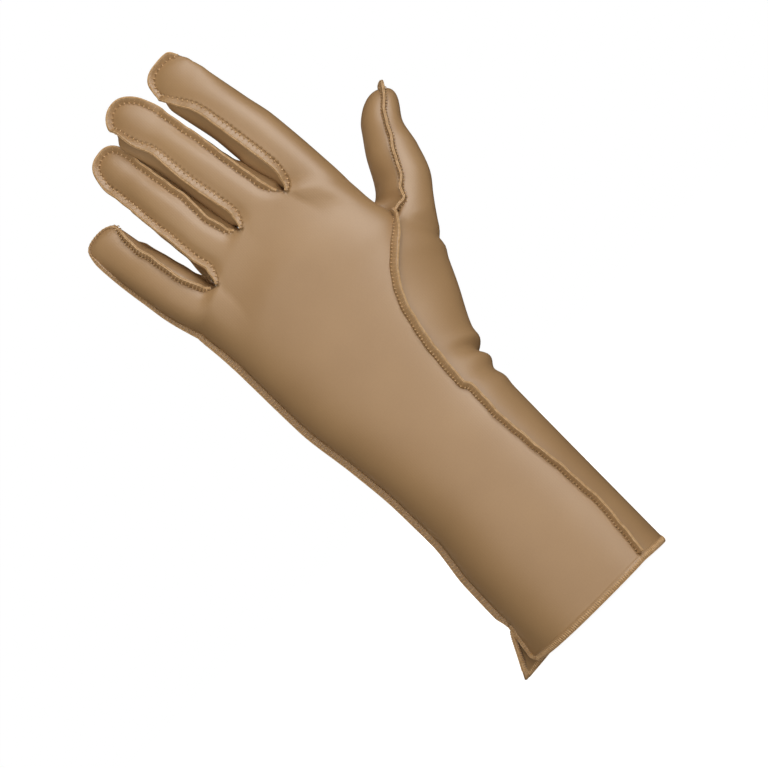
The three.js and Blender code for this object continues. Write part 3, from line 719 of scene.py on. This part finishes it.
def grid_triangles(shape):
    rows, columns = shape
    at = np.arange(rows * columns).reshape(rows, columns)
    a, b, c, d = at[:-1, :-1], at[:-1, 1:], at[1:, 1:], at[1:, :-1]
    return np.concatenate(
        [np.stack([a, b, c], axis=-1).reshape(-1, 3), np.stack([a, c, d], axis=-1).reshape(-1, 3)]
    )


def welded(points, triangles, apart=None):
    """One number for all points in the same place, with the triangles that have closed to a line
    left out. Points with different marks in apart stay apart."""
    keys = np.round(points * WELD_STEPS).astype(np.int64)
    if apart is not None:
        keys = np.column_stack([keys, apart])
    _, first, number = np.unique(keys, axis=0, return_index=True, return_inverse=True)
    corners = number.reshape(-1)[triangles]
    a, b, c = corners.T
    return first, number.reshape(-1), corners[(a != b) & (b != c) & (c != a)]


def outward(points, triangles, first, number):
    """Directions out of the fabric: the sum of the faces' normals at each welded point."""
    place = points[first]
    a, b, c = (place[triangles[:, k]] for k in range(3))
    normal = np.cross(b - a, c - a)
    total = np.zeros_like(place)
    for k in range(3):
        np.add.at(total, triangles[:, k], normal)
    return unit(total)[number]


def stacked(sheets):
    """Sheets as one list of points and one of triangles."""
    starts = np.cumsum([0] + [sheet.shape[0] * sheet.shape[1] for sheet in sheets])
    triangles = [grid_triangles(sheet.shape[:2]) + start for sheet, start in zip(sheets, starts)]
    return np.concatenate([sheet.reshape(-1, 3) for sheet in sheets]), np.concatenate(triangles)


def joined(*lines):
    """Lines end to end, without the points that they share. A line is its points and directions there."""
    points, *directions = (np.concatenate(parts) for parts in zip(*lines))
    keep = np.concatenate([[True], np.linalg.norm(np.diff(points, axis=0), axis=1) > SAME])
    return points[keep], *(part[keep] for part in directions)


class Glove:
    """The sheets of the glove, with outward directions that they share where they are sewn."""

    def __init__(self):
        self.sheets = make_sheets()
        points, triangles = stacked(list(self.sheets.values()))
        first, number, faces = welded(points, triangles)
        out = outward(points, faces, first, number)
        self.out, start = {}, 0
        for key, sheet in self.sheets.items():
            count = sheet.shape[0] * sheet.shape[1]
            self.out[key] = out[start : start + count].reshape(sheet.shape)
            start += count

    def line(self, key, column, rows=slice(None)):
        """A line of a sheet along one of its columns: points and outward directions."""
        return self.sheets[key][rows, column], self.out[key][rows, column]


GLOVE = Glove()


def seam_lines():
    """Every overlocked seam as a line on the glove, named for the seam it stands for."""
    line = GLOVE.line
    down = slice(-2, 1, -1)  # from the tip back to the web
    low = slice(2, 48)  # the palm seams stop short of the tips
    lines = {
        "index_back_seam": joined(
            line(("finger", "back", "index"), 0),
            line(("finger", "back", "index"), -1, slice(-2, -13, -1)),
        ),
        "side_seam": joined(
            line(("hand", "back", "little"), 0, slice(VENT_ROW, None)),
            line(("finger", "back", "little"), 0),
            line(("finger", "back", "little"), -1, down),
        ),
        "thumb_back_seam": joined(line("gusset", 0, slice(2, None)), line("inner", -1, slice(1, None))),
        "thumb_palm_seam": joined(line("gusset", -1, slice(2, None)), line("inner", 0, slice(1, -3))),
        "little_palm_seam": line(("finger", "palm", "little"), 0, low),
        "index_palm_seam": line(("finger", "palm", "index"), -1, low),
    }
    for name in ("middle", "ring"):
        back, palm = ("finger", "back", name), ("finger", "palm", name)
        lines[f"{name}_back_seam"] = joined(line(back, 0), line(back, -1, down))
        lines[f"{name}_palm_seam_outer"] = line(palm, -1, low)
        lines[f"{name}_palm_seam_inner"] = line(palm, 0, low)
    return lines


SEAM_LINES = seam_lines()


def evenly(points, outs, step):
    """A line with its points evenly spaced, its outward directions smoothed and square to it.
    Returns points, outs, across and the distance along."""
    length = np.concatenate([[0], np.cumsum(np.linalg.norm(np.diff(points, axis=0), axis=1))])
    at = np.linspace(0, length[-1], max(int(length[-1] / step), 4) + 1)
    points, outs = between(at, length, points), between(at, length, outs)
    window = np.hanning(2 * SMOOTH_REACH + 1)
    window /= window.sum()
    padded = np.pad(outs, ((SMOOTH_REACH, SMOOTH_REACH), (0, 0)), mode="edge")
    outs = np.stack([np.convolve(padded[:, k], window, mode="valid") for k in range(3)], axis=-1)
    run = heading(points)
    outs = square_to(run, outs)
    return points, outs, np.cross(run, outs), at


def pitch_of(settings, name):
    """Length of one stitch of a seam in mm: the long seams of the arm are sewn with shorter ones."""
    return settings.close_stitch if name in CLOSE_SEAMS else settings.stitch


def nearest_seam(settings, points, names):
    """Distance of points from the nearest of the seams in mm, and the place along it in stitches."""
    lines = []
    for name in names:
        path, _, _, at = evenly(*SEAM_LINES[name], MARK_STEP)
        pitch, ones = pitch_of(settings, name), np.ones_like(at)
        lines.append((path, heading(path), at / pitch, ones / pitch, ones * CLOSE_SEAMS.get(name, 0)))
    paths, runs, places, counts, offs = (np.concatenate(parts) for parts in zip(*lines))
    distance, along = np.empty(len(points)), np.empty(len(points))
    for part in np.array_split(np.arange(len(points)), max(len(points) // CHUNK, 1)):
        gap = np.linalg.norm(points[part, None] - paths[None], axis=-1)
        nearest = gap.argmin(axis=1)
        distance[part] = gap[np.arange(len(part)), nearest] + offs[nearest]
        beyond = np.sum((points[part] - paths[nearest]) * runs[nearest], axis=1)
        along[part] = places[nearest] + np.clip(beyond, -MARK_STEP / 2, MARK_STEP / 2) * counts[nearest]
    return distance, along


def relief(distance):
    """How far the fabric lies off its smooth form near a seam."""
    return sum(rise * bell((distance - far) / width) for rise, far, width in RELIEF)


def linear(text):
    """An sRGB hex colour as linear red, green, blue and alpha."""
    value = np.array([int(text[i : i + 2], 16) for i in (1, 3, 5)]) / 255
    line = np.where(value <= 0.04045, value / 12.92, ((value + 0.055) / 1.055) ** 2.4)
    return (*line, 1.0)


def node(tree, kind, inputs=None, **settings):
    """Adds a node, or takes one that is there. inputs gives each socket, by name or number, a value or
    an output to link."""
    made = tree.nodes.new(kind) if isinstance(kind, str) else kind
    for name, value in settings.items():
        setattr(made, name, value)
    for socket, value in (inputs or {}).items():
        if isinstance(value, bpy.types.NodeSocket):
            tree.links.new(value, made.inputs[socket])
        else:
            made.inputs[socket].default_value = value
    return made


def maths(tree, operation, *values):
    return node(tree, "ShaderNodeMath", dict(enumerate(values)), operation=operation).outputs[0]


def ranged(tree, value, source, target=(0.0, 1.0), **settings):
    """A value, carried from the range source to the range target."""
    limits = dict(zip(("From Min", "From Max", "To Min", "To Max"), (*source, *target)))
    return node(tree, "ShaderNodeMapRange", {"Value": value, **limits}, **settings).outputs[0]


def noise(tree, place, size, detail=2.0):
    """Noise in patches of about a size."""
    inputs = {"Vector": place, "Scale": 1 / size, "Detail": detail}
    return node(tree, "ShaderNodeTexNoise", inputs).outputs["Fac"]


def bumped(tree, height, strength, distance, **more):
    inputs = {"Height": height, "Strength": strength, "Distance": distance, **more}
    return node(tree, "ShaderNodeBump", inputs).outputs["Normal"]


def two_tone(tree, share, dark, light):
    """Two sRGB hex colours, mixed by a share."""
    made = node(tree, "ShaderNodeValToRGB", {"Fac": share})
    for element, place, text in zip(made.color_ramp.elements, (0.3, 0.7), (dark, light)):
        element.position, element.color = place, linear(text)
    return made.outputs["Color"]


def new_material(name):
    material = bpy.data.materials.get(name)
    if material:
        return material, None, None
    material = bpy.data.materials.new(name)
    material.use_nodes = True
    tree = material.node_tree
    return material, tree, tree.nodes["Principled BSDF"]


def stretch_knit(settings):
    """Warp-knitted nylon and elastane, dyed tan. Smooth, with a soft gloss where it turns away from
    the eye, fine upright wales, and small puckers where it is drawn into a seam, with painted shade in them."""
    material, tree, shader = new_material("warp_knit_nylon_tan")
    if tree is None:
        return material
    uv = node(tree, "ShaderNodeUVMap", uv_map="cloth_mm").outputs["UV"]
    distance = node(tree, "ShaderNodeAttribute", attribute_name="seam_mm").outputs["Fac"]
    along = node(tree, "ShaderNodeAttribute", attribute_name="stitches").outputs["Fac"]
    # the dye takes a little unevenly, in patches of about 30 mm
    dye = two_tone(tree, noise(tree, uv, 30, 3.0), settings.knit_shade, settings.knit_colour)
    grain = noise(tree, uv, 0.7)
    fleck = ranged(tree, grain, (0.0, 1.0), (0.95, 1.05))
    # beside a seam the knit is drawn down between the stitches into small pits, dented by the bump and
    # darkened with painted shade
    turn = maths(tree, "MULTIPLY_ADD", along, 2 * np.pi, -1.2 * np.pi)
    gap = ranged(tree, maths(tree, "COSINE", turn), (0.5, -0.6))
    pit = maths(tree, "MULTIPLY", gap, ranged(tree, distance, (0.6, 1.5), (1.0, 0.0)))
    # painted shade: the knit's colour is darkened by a third at the bottom of each pit, on top of its random
    # flecks
    tone = maths(tree, "MULTIPLY", fleck, ranged(tree, pit, (0.0, 1.0), (1.0, 0.66)))
    colour = node(
        tree,
        "ShaderNodeMix",
        {"Factor": 1.0, "A": dye, "B": tone},
        data_type="RGBA",
        blend_type="MULTIPLY",
    ).outputs["Result"]
    # wales of 0.4 mm are too fine to show, so they are drawn 0.8 mm apart
    wales = node(tree, "ShaderNodeTexWave", {"Vector": uv, "Scale": WAVE / 0.8})
    courses = node(tree, "ShaderNodeTexWave", {"Vector": uv, "Scale": WAVE / 0.9}, bands_direction="Y")
    knit = maths(tree, "MULTIPLY", wales.outputs["Fac"], courses.outputs["Fac"])
    rough = maths(tree, "ADD", grain, knit)
    fine = bumped(tree, rough, 0.07, 0.0002)
    bump = bumped(tree, maths(tree, "MULTIPLY", pit, -1.0), 0.6, 0.0003, Normal=fine)
    looks = {"Roughness": 0.48, "IOR": 1.65, "Specular IOR Level": 0.95}
    node(tree, shader, {"Base Color": colour, "Normal": bump, **looks})
    return material


def textured_thread(settings):
    """Textured polyester overlock thread: fluffy and paler than the knit, with light and dark
    strands that change about every millimetre."""
    material, tree, shader = new_material("textured_polyester_thread")
    if tree is None:
        return material
    place = node(tree, "ShaderNodeTexCoord").outputs["Object"]
    strands = noise(tree, place, 0.0012)
    colour = two_tone(tree, strands, settings.thread_shade, settings.thread_colour)
    bump = bumped(tree, strands, 0.3, 0.0002)
    looks = {"Roughness": 0.7, "IOR": 1.5, "Specular IOR Level": 0.3}
    sheen = {"Sheen Weight": 0.2, "Sheen Roughness": 0.5}
    node(tree, shader, {"Base Color": colour, "Normal": bump, **looks, **sheen})
    return material


def pale_floor():
    """Matte painted studio floor, evenly pale."""
    material, tree, shader = new_material("matte_white_paint")
    if tree is None:
        return material
    place = node(tree, "ShaderNodeTexCoord").outputs["Object"]
    # the light on the floor falls off round the glove, and the floor is white further out
    distance = node(tree, "ShaderNodeVectorMath", {0: place}, operation="LENGTH").outputs["Value"]
    looks = {
        "Base Color": linear("#B8B8B6"),
        "Roughness": 0.9,
        "Normal": bumped(tree, noise(tree, place, 0.004), 0.05, 0.0002),
        "Emission Color": linear("#FFFFFF"),
        "Emission Strength": ranged(
            tree, distance, (0.1, 0.5), (0.97, 1.0), interpolation_type="SMOOTHSTEP"
        ),
    }
    node(tree, shader, looks)
    return material


def white_backdrop():
    """Seamless white paper, lit until it shows no shade."""
    material, tree, shader = new_material("white_paper_backdrop")
    if tree is None:
        return material
    looks = {"Base Color": linear("#000000"), "Emission Color": linear("#FFFFFF"), "Emission Strength": 1.0}
    node(tree, shader, looks)
    return material


def mesh_object(name, points, triangles, materials, uv=None, attributes=None, slots=None):
    """A smooth-shaded object at the origin, its points given in mm."""
    old = bpy.data.objects.get(name)
    if old and old.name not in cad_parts:
        bpy.data.objects.remove(old)
    mesh = bpy.data.meshes.new(name)
    mesh.from_pydata((points * MM).tolist(), [], triangles.tolist())
    mesh.polygons.foreach_set("use_smooth", np.ones(len(triangles), dtype=bool))
    for material in materials:
        mesh.materials.append(material)
    if slots is not None:
        mesh.polygons.foreach_set("material_index", slots.astype(np.int32))
    if uv is not None:
        layer = mesh.uv_layers.new(name="cloth_mm")
        layer.data.foreach_set("uv", uv[triangles.reshape(-1)].astype(np.float32).reshape(-1))
    for key, values in (attributes or {}).items():
        mesh.attributes.new(key, "FLOAT", "POINT").data.foreach_set("value", values.astype(np.float32))
    mesh.update()
    made = bpy.data.objects.new(name, mesh)
    bpy.context.scene.collection.objects.link(made)
    return made


def fabric_panel(settings, name, keys, seams, apart=None):
    """A panel of fabric with its thickness: its sheets, drawn up at the seams, the same sheets
    inside them, and the cut edges between. uv runs across and along the cloth in mm."""
    sheets = [GLOVE.sheets[key] for key in keys]
    points, triangles = stacked(sheets)
    outs = np.concatenate([GLOVE.out[key].reshape(-1, 3) for key in keys])
    marks = None
    if apart:
        marks = np.concatenate([apart(key, s.shape[:2]).reshape(-1) for key, s in zip(keys, sheets)])
    first, _, faces = welded(points, triangles, marks)
    place, out = points[first], outs[first]
    distance, along = nearest_seam(settings, place, seams)
    outer = place + out * relief(distance)[:, None]
    inner = outer - out * settings.wall / MM
    count = len(place)
    edges = faces[:, [0, 1, 1, 2, 2, 0]].reshape(-1, 2)
    code = edges.min(axis=1) * count + edges.max(axis=1)
    _, where, times = np.unique(code, return_index=True, return_counts=True)
    i, j = edges[where[times == 1]].T
    rim = np.concatenate([np.stack([j, i, i + count], axis=-1), np.stack([j, i + count, j + count], axis=-1)])
    shell = np.concatenate([faces, faces[:, ::-1] + count, rim])
    uv = np.stack([np.where(out[:, 1] < 0, place[:, 0], PALM_CLOTH - place[:, 0]), place[:, 2]], axis=-1)
    made = mesh_object(
        name,
        np.concatenate([outer, inner]),
        shell,
        [stretch_knit(settings)],
        np.concatenate([uv, uv]),
        {"seam_mm": np.tile(distance, 2), "stitches": np.tile(along, 2)},
    )
    a, b, c = (place[faces[:, k]] for k in range(3))
    area = np.linalg.norm(np.cross(b - a, c - a), axis=1).sum() / 2
    return made, area * MM * MM


def ring_faces(length, count):
    """Triangles of a closed tube: so many rings of count points each, and both of its ends."""
    ring = np.arange(count)
    start = np.arange(length - 1)[:, None] * count
    a, b = start + ring, start + (ring + 1) % count
    fan = np.stack([np.zeros(count - 2, int), ring[2:], ring[1:-1]], axis=-1)
    return np.concatenate(
        [
            np.stack([a, b, a + count], axis=-1).reshape(-1, 3),
            np.stack([b, b + count, a + count], axis=-1).reshape(-1, 3),
            fan,
            fan[:, ::-1] + (length - 1) * count,
        ]
    )


def sweep(points, outs, across, outline, height):
    """A closed outline carried along a line: outline is across and out, in mm, and height scales how
    far it goes out at each point. The ends are closed."""
    rings = (
        points[:, None]
        + across[:, None] * outline[None, :, :1]
        + outs[:, None] * (outline[None, :, 1:] * height[:, None, None])
    )
    return rings.reshape(-1, 3), ring_faces(len(points), len(outline))


def tube(centre, side, radius):
    """A round thread along a line, side being a direction roughly square to it at each point."""
    run = heading(centre)
    side = square_to(run, side)
    return sweep(centre, np.cross(run, side), side, CIRCLE * radius, np.ones(len(centre)))


def bars(line, pitch, steps, slant, radius, height=None):
    """Short threads laid across a seam, one to a stitch. steps are the (across, out) places that a
    thread goes through and slant is how far it runs along the seam on its way; height scales out."""
    points, outs, across, at = line
    # the first and the last stitch keep off the ends of the line
    stitches = np.arange(0.6 * pitch, at[-1] - 0.4 * pitch, pitch)
    steps = np.asarray(steps, float)
    s = stitches[:, None] + slant * np.linspace(-0.5, 0.5, len(steps))
    p, o, c = (between(s, at, v) for v in (points, outs, across))
    tall = np.interp(s, at, height) if height is not None else np.ones_like(s)
    centre = p + c * steps[None, :, :1] + o * (steps[None, :, 1] * tall)[..., None]
    run = heading(centre)
    side = unit(np.cross(run, np.cross(c, o)))
    other = np.cross(run, side)
    # a thread is thinner at its ends
    thick = radius * np.sqrt(np.clip(1.05 - np.linspace(-1, 1, len(steps)) ** 4, 0, 1))
    rings = centre[:, :, None] + thick[:, None, None] * (
        CIRCLE[:, :1] * side[:, :, None] + CIRCLE[:, 1:] * other[:, :, None]
    )
    one = ring_faces(len(steps), len(CIRCLE))
    faces = one[None] + (np.arange(len(stitches)) * len(steps) * len(CIRCLE))[:, None, None]
    return rings.reshape(-1, 3), faces.reshape(-1, 3)


def overlock(line, half, rise, height, pitch, radius, loops, knots=True):
    """Overlock thread over a standing edge: fine loops up both of its faces, a chain along the top, and
    the knots of the needle thread at its foot, which hold the panels down."""
    points, outs, across, _ = line
    parts = []
    for face in (-1, 1):
        loop = [(face * half * k, rise * t) for k, t in LOOP]
        parts.append(bars(line, pitch, loop, LOOP_SLANT * pitch, loops * radius, height))
        if not knots:
            continue
        foot = [(face * (half * EDGE_WIDTH + k), t) for k, t in KNOT]
        # longer stitches draw thicker knots
        parts.append(bars(line, pitch, foot, KNOT_SLANT * pitch, radius * (0.5 + 0.8 * pitch)))
    centre = points + outs * (height * rise)[:, None]
    for face in (-0.5, 0.5):
        parts.append(tube(centre + across * (face * half), outs, CHAIN * radius))
    return parts


def gathered(parts):
    """Several meshes as one."""
    points, faces, start = [], [], 0
    for p, f in parts:
        points.append(p)
        faces.append(f + start)
        start += len(p)
    return np.concatenate(points), np.concatenate(faces)


def edge_piece(settings, name, band, thread):
    """An overlocked edge: the knit in it, and the meshes of the thread over it."""
    points, faces = gathered([band, *thread])
    return mesh_object(
        name,
        points,
        faces,
        [stretch_knit(settings), textured_thread(settings)],
        np.stack([points[:, 0] - points[:, 1], points[:, 2]], axis=-1),
        {"seam_mm": np.full(len(points), UNMARKED), "stitches": np.zeros(len(points))},
        np.arange(len(faces)) >= len(band[1]),
    )


def ramp_ends(at, first, last, run):
    """Share of a seam's height along it: it rises from a share at its start, and falls over the run to
    a share at its end."""
    return mix(first, 1, smooth(0, START_RUN, at)) * mix(last, 1, smooth(0, run, at[-1] - at))


def seam_piece(settings, name, rise):
    """An overlocked seam: the two fabric edges as a thin fin with rounded corners, and the thread."""
    points, outs, across, at = evenly(*SEAM_LINES[name], LINE_STEP)
    z = points[:, 2]
    top = at[z.argmax()]
    height = ramp_ends(at, *LOW_ENDS.get(name, LOW_END))
    if name == "side_seam":
        past = mix(SIDE_TIP, 1, smooth(*SIDE_TIP_RUN, at - top))
        height = height * np.where(at < top, columns_at(SIDE_HEIGHT, z)[0], past)
    for place, size in LUMPS.get(name, ()):
        height = height + size * bell(np.linalg.norm(points[:, [0, 2]] - place, axis=1) / LUMP_WIDTH)
    if name in LEANS:
        degrees, upright, first, grows = LEANS[name]
        share = (1 - smooth(*upright, z)) * (at < top) * mix(first, 1, smooth(*grows, at))
        lean = np.radians(degrees) * share[:, None]
        cosine, sine = np.cos(lean), np.sin(lean)
        outs, across = outs * cosine - across * sine, across * cosine + outs * sine
        height = height * (1 + LEAN_TALLER * share)
    turned = None
    if name in STANDS:
        tip = np.radians(STAND_TURN) * smooth(*STANDS[name], z)[:, None]
        turned = outs * np.cos(tip) + BACK * np.sin(tip)
    elif name == "thumb_back_seam":
        share = smooth(*THUMB_STAND, z) * (1 - smooth(*THUMB_STAND_OUT, z))
        turned = mix(outs, BACK, THUMB_STAND_SHARE * share[:, None])
    if turned is not None:
        run = heading(points)
        outs = square_to(run, unit(turned))
        across = np.cross(run, outs)
    wobble = sum(size * np.sin(at / run + start) for size, run, start in WOBBLE)
    points = points + across * wobble[:, None]
    half = settings.seam_thickness / MM / 2
    fin = sweep(points, outs, across, FIN * (half, rise), height)
    thread = overlock(
        (points, outs, across, at),
        half * EDGE_WIDTH,
        rise,
        height,
        pitch_of(settings, name),
        settings.thread / MM / 2,
        LOOPS.get(name, FINE_LOOPS),
    )
    return edge_piece(settings, name, fin, thread)


def finish_piece(piece, slot, *nodes):
    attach(piece, "root")
    if nodes:
        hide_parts(*nodes)


def length(name, description, size):
    """A property for a length, with its usual size in mm."""
    return bpy.props.FloatProperty(name=name, description=description, default=size * MM, unit="LENGTH")


def dye(name, description, text):
    """A property for a colour."""
    return bpy.props.StringProperty(name=name, description=f"{description}, sRGB hex", default=text)


class GloveSettings(bpy.types.PropertyGroup):
    """Sizes and colours of the glove."""

    wall: length("Fabric", "Thickness of the knit", 1.2)
    seam_rise: length("Seam height", "How far a seam stands out on the back", 2.5)
    palm_rise: length("Palm seam height", "How far a seam stands out on the palm", 2.2)
    seam_thickness: length("Seam thickness", "Two layers of knit pressed together", 1.3)
    thread: length("Thread", "Diameter of the overlock thread", 0.3)
    stitch: bpy.props.FloatProperty(
        name="Stitch", description="Length of one overlock stitch of the fingers, in mm", default=2.0
    )
    close_stitch: bpy.props.FloatProperty(
        name="Close stitch",
        description="Length of one overlock stitch of the arm and thumb, in mm",
        default=1.4,
    )
    cuff_edge: length("Cuff edge", "Height of the overlocked edge of the cuff", 2.8)
    knit_colour: dye("Knit colour", "Colour of the knit", "#AA865B")
    knit_shade: dye("Knit shade", "Darker patches of the knit", "#A48056")
    thread_colour: dye("Thread colour", "Light strands of the thread", "#D2B084")
    thread_shade: dye("Thread shade", "Dark strands of the thread", "#B48E5E")


class GLOVE_OT_hand_panel(bpy.types.Operator):
    """The hand panel: one piece of knit for the back and the palm, folded at the index finger"""

    bl_idname = "glove.hand_panel"
    bl_label = "Hand panel"

    def execute(self, context):
        settings = context.scene.glove

        def apart(key, shape):
            # back and palm are one piece only along the fold at the index finger
            kind, face, name = key
            mark = np.full(shape, 1 + FACES.index(face))
            if name == "index":
                start = FOLD_ROW if kind == "hand" else 0
                mark[start:, 0 if face == "palm" else -1] = 0
            return mark

        keys = [(kind, face, name) for face in FACES for name in NAMES for kind in ("hand", "finger")]
        piece, area = fabric_panel(settings, "hand_panel", keys, SEAM_LINES, apart)
        finish_piece(piece, "stretch_knit", "back_panel", "palm_panel")
        return {"FINISHED"}


class GLOVE_OT_thumb_panels(bpy.types.Operator):
    """The thumb panel, which runs up the arm and over the outer half of the thumb, and the inner half"""

    bl_idname = "glove.thumb_panels"
    bl_label = "Thumb panels"

    def execute(self, context):
        settings = context.scene.glove
        seams = ["thumb_back_seam", "thumb_palm_seam"]
        piece, area = fabric_panel(settings, "thumb_panel", ["gusset", "thumb"], seams)
        finish_piece(piece, "stretch_knit", "thumb_panel")
        piece, area = fabric_panel(settings, "thumb_inner_panel", ["inner"], seams)
        finish_piece(piece, "stretch_knit", "thumb_inner_panel")
        return {"FINISHED"}


class GLOVE_OT_fourchettes(bpy.types.Operator):
    """The three forked strips between the fingers"""

    bl_idname = "glove.fourchettes"
    bl_label = "Fourchettes"

    def execute(self, context):
        settings = context.scene.glove
        for a, b in zip(NAMES, NAMES[1:]):
            name = f"fourchette_{b}_{a}"
            keys = [("side", "radial", a), ("side", "ulnar", b)]
            piece, area = fabric_panel(settings, name, keys, SEAM_LINES)
            finish_piece(piece, "stretch_knit", name)
        return {"FINISHED"}


class GLOVE_OT_seams(bpy.types.Operator):
    """The overlocked seams of the back, the palm and the side"""

    bl_idname = "glove.seams"
    bl_label = "Seams"

    def execute(self, context):
        settings = context.scene.glove
        for name in SEAM_LINES:
            rise = settings.palm_rise if "palm" in name else settings.seam_rise
            piece = seam_piece(settings, name, rise / MM)
            finish_piece(piece, "overlock_thread", name)
        return {"FINISHED"}


def cuff_line():
    """The free edge of the cuff: down the back side of the vent, round the wrist and up its palm
    side. Gives points in the middle of the wall, directions off the edge, and across the wall."""
    hand, out = GLOVE.sheets, GLOVE.out
    pieces = []

    def take(key, index, off, shift=0.0):
        points = hand[key][index] + shift
        pieces.append((points, out[key][index], np.broadcast_to(off, points.shape)))

    down = np.array((0.0, 0.0, -1.0))
    side = np.array((-1.0, 0.0, 0.0))
    take(("hand", "back", "little"), (slice(VENT_ROW, 1, -1), 0), side, VENT_STANDS * side)
    for name in NAMES:
        take(("hand", "back", name), (0, slice(1 if name == "little" else 0, None)), down)
    take("gusset", (0, slice(1, -1)), down)
    for name in reversed(NAMES):
        take(("hand", "palm", name), (0, slice(None, -1 if name == "little" else None)), down)
    flap = hand["hand", "palm", "little"][2 : VENT_ROW + 1]
    take(("hand", "palm", "little"), (slice(2, VENT_ROW + 1), -1), unit(flap[:, -1] - flap[:, -2]))
    return joined(*pieces)


class GLOVE_OT_cuff_edge(bpy.types.Operator):
    """The overlocked edge round the wrist opening and the vent"""

    bl_idname = "glove.cuff_edge"
    bl_label = "Cuff edge"

    def execute(self, context):
        settings = context.scene.glove
        points, outs, offs = cuff_line()
        wall = settings.wall / MM
        tall = settings.cuff_edge / MM
        place, offs, across, at = evenly(points - outs * wall / 2, offs, LINE_STEP)
        place = place - offs * (tall - CUFF_PAST)
        half, ones = wall / 2 + CUFF_OVER, np.ones_like(at)
        band = sweep(place, offs, across, BAND * (half, tall), ones)
        thread = overlock(
            (place, offs, across, at),
            half,
            tall,
            ones,
            CUFF_STITCH,
            settings.thread / MM / 2,
            LOOPS["cuff_edge"],
            knots=False,
        )
        piece = edge_piece(settings, "cuff_edge", band, thread)
        finish_piece(piece, "overlock_thread", "cuff_edge")
        return {"FINISHED"}


class GLOVE_OT_studio(bpy.types.Operator):
    """The pale floor, the soft lights and the camera"""

    bl_idname = "glove.studio"
    bl_label = "Studio"

    def execute(self, context):
        scene = context.scene
        low = CAD_BOX[0].z / MM - FLOOR_GAP
        corners = np.array([(FLOOR * x, FLOOR * y, low) for x, y in ((-1, -1), (1, -1), (1, 1), (-1, 1))])
        floor = mesh_object("floor", corners, np.array([(0, 1, 2), (0, 2, 3)]), [pale_floor()])
        longitude, latitude = np.meshgrid(
            np.linspace(0, 2 * np.pi, 33), np.linspace(-np.pi / 2, np.pi / 2, 17)
        )
        ring = np.cos(latitude)
        dome = DOME * np.stack(
            [ring * np.cos(longitude), ring * np.sin(longitude), np.sin(latitude)], axis=-1
        ).reshape(-1, 3)
        first, _, faces = welded(dome, grid_triangles(longitude.shape))
        backdrop = mesh_object("backdrop", dome[first], faces[:, ::-1], [white_backdrop()])
        # both are seen and light nothing
        backdrop.visible_diffuse = backdrop.visible_glossy = backdrop.visible_shadow = False
        floor.visible_diffuse = floor.visible_glossy = False
        world = bpy.data.worlds.new("studio")
        world.use_nodes = True
        world.node_tree.nodes["Background"].inputs["Color"].default_value = linear("#FFF2E0")
        world.node_tree.nodes["Background"].inputs["Strength"].default_value = 0.25
        world.cycles_visibility.glossy = False
        scene.world = world
        aim = Vector((0, 0, 0.1149))
        for name, place, size, power in (
            ("key_softbox", (0.88, -0.9, 0.6), (0.95, 1.6), 12.5),
            ("front_softbox", (-0.25, -1.53, 0.14), (1.2, 1.2), 17.5),
            ("back_softbox", (-0.7, 1.35, 0.45), (1.2, 1.2), 13.0),
        ):
            light = bpy.data.lights.new(name, "AREA")
            light.shape = "RECTANGLE"
            light.size, light.size_y = size
            light.energy = power
            lamp = bpy.data.objects.new(name, light)
            lamp.location = place
            lamp.rotation_euler = (aim - Vector(place)).to_track_quat("-Z", "Y").to_euler()
            # the other lights are polarised, so that only the key light shines on the knit
            lamp.visible_glossy = name == "key_softbox"
            scene.collection.objects.link(lamp)
        camera = bpy.data.cameras.new("camera")
        camera.lens = 151.3
        camera.sensor_width = 36
        eye = bpy.data.objects.new("camera", camera)
        half = 0.5**0.5
        eye.matrix_world = Matrix(
            ((half, half, 0, 0), (0, 0, -1, -1.2), (-half, half, 0, aim.z), (0, 0, 0, 1))
        )
        scene.collection.objects.link(eye)
        scene.camera = eye
        scene.view_settings.view_transform = "Standard"
        return {"FINISHED"}


class GLOVE_PT_sidebar(bpy.types.Panel):
    """Lists the glove's settings and makers"""

    bl_idname = "GLOVE_PT_sidebar"
    bl_label = "Compression glove"
    bl_space_type = "VIEW_3D"
    bl_region_type = "UI"
    bl_category = "Glove"

    def draw(self, context):
        for name in GloveSettings.__annotations__:
            self.layout.prop(context.scene.glove, name)
        for maker in MAKERS:
            self.layout.operator(maker.bl_idname)


MAKERS = (
    GLOVE_OT_hand_panel,
    GLOVE_OT_thumb_panels,
    GLOVE_OT_fourchettes,
    GLOVE_OT_seams,
    GLOVE_OT_cuff_edge,
    GLOVE_OT_studio,
)
CLASSES = (GloveSettings, *MAKERS, GLOVE_PT_sidebar)


def register():
    for made in CLASSES:
        bpy.utils.register_class(made)
    bpy.types.Scene.glove = bpy.props.PointerProperty(type=GloveSettings)


def unregister():
    del bpy.types.Scene.glove
    for made in reversed(CLASSES):
        bpy.utils.unregister_class(made)


def main():
    register()
    bpy.ops.glove.hand_panel()
    bpy.ops.glove.thumb_panels()
    bpy.ops.glove.fourchettes()
    bpy.ops.glove.seams()
    bpy.ops.glove.cuff_edge()
    bpy.ops.glove.studio()


if __name__ == "__main__":
    main()
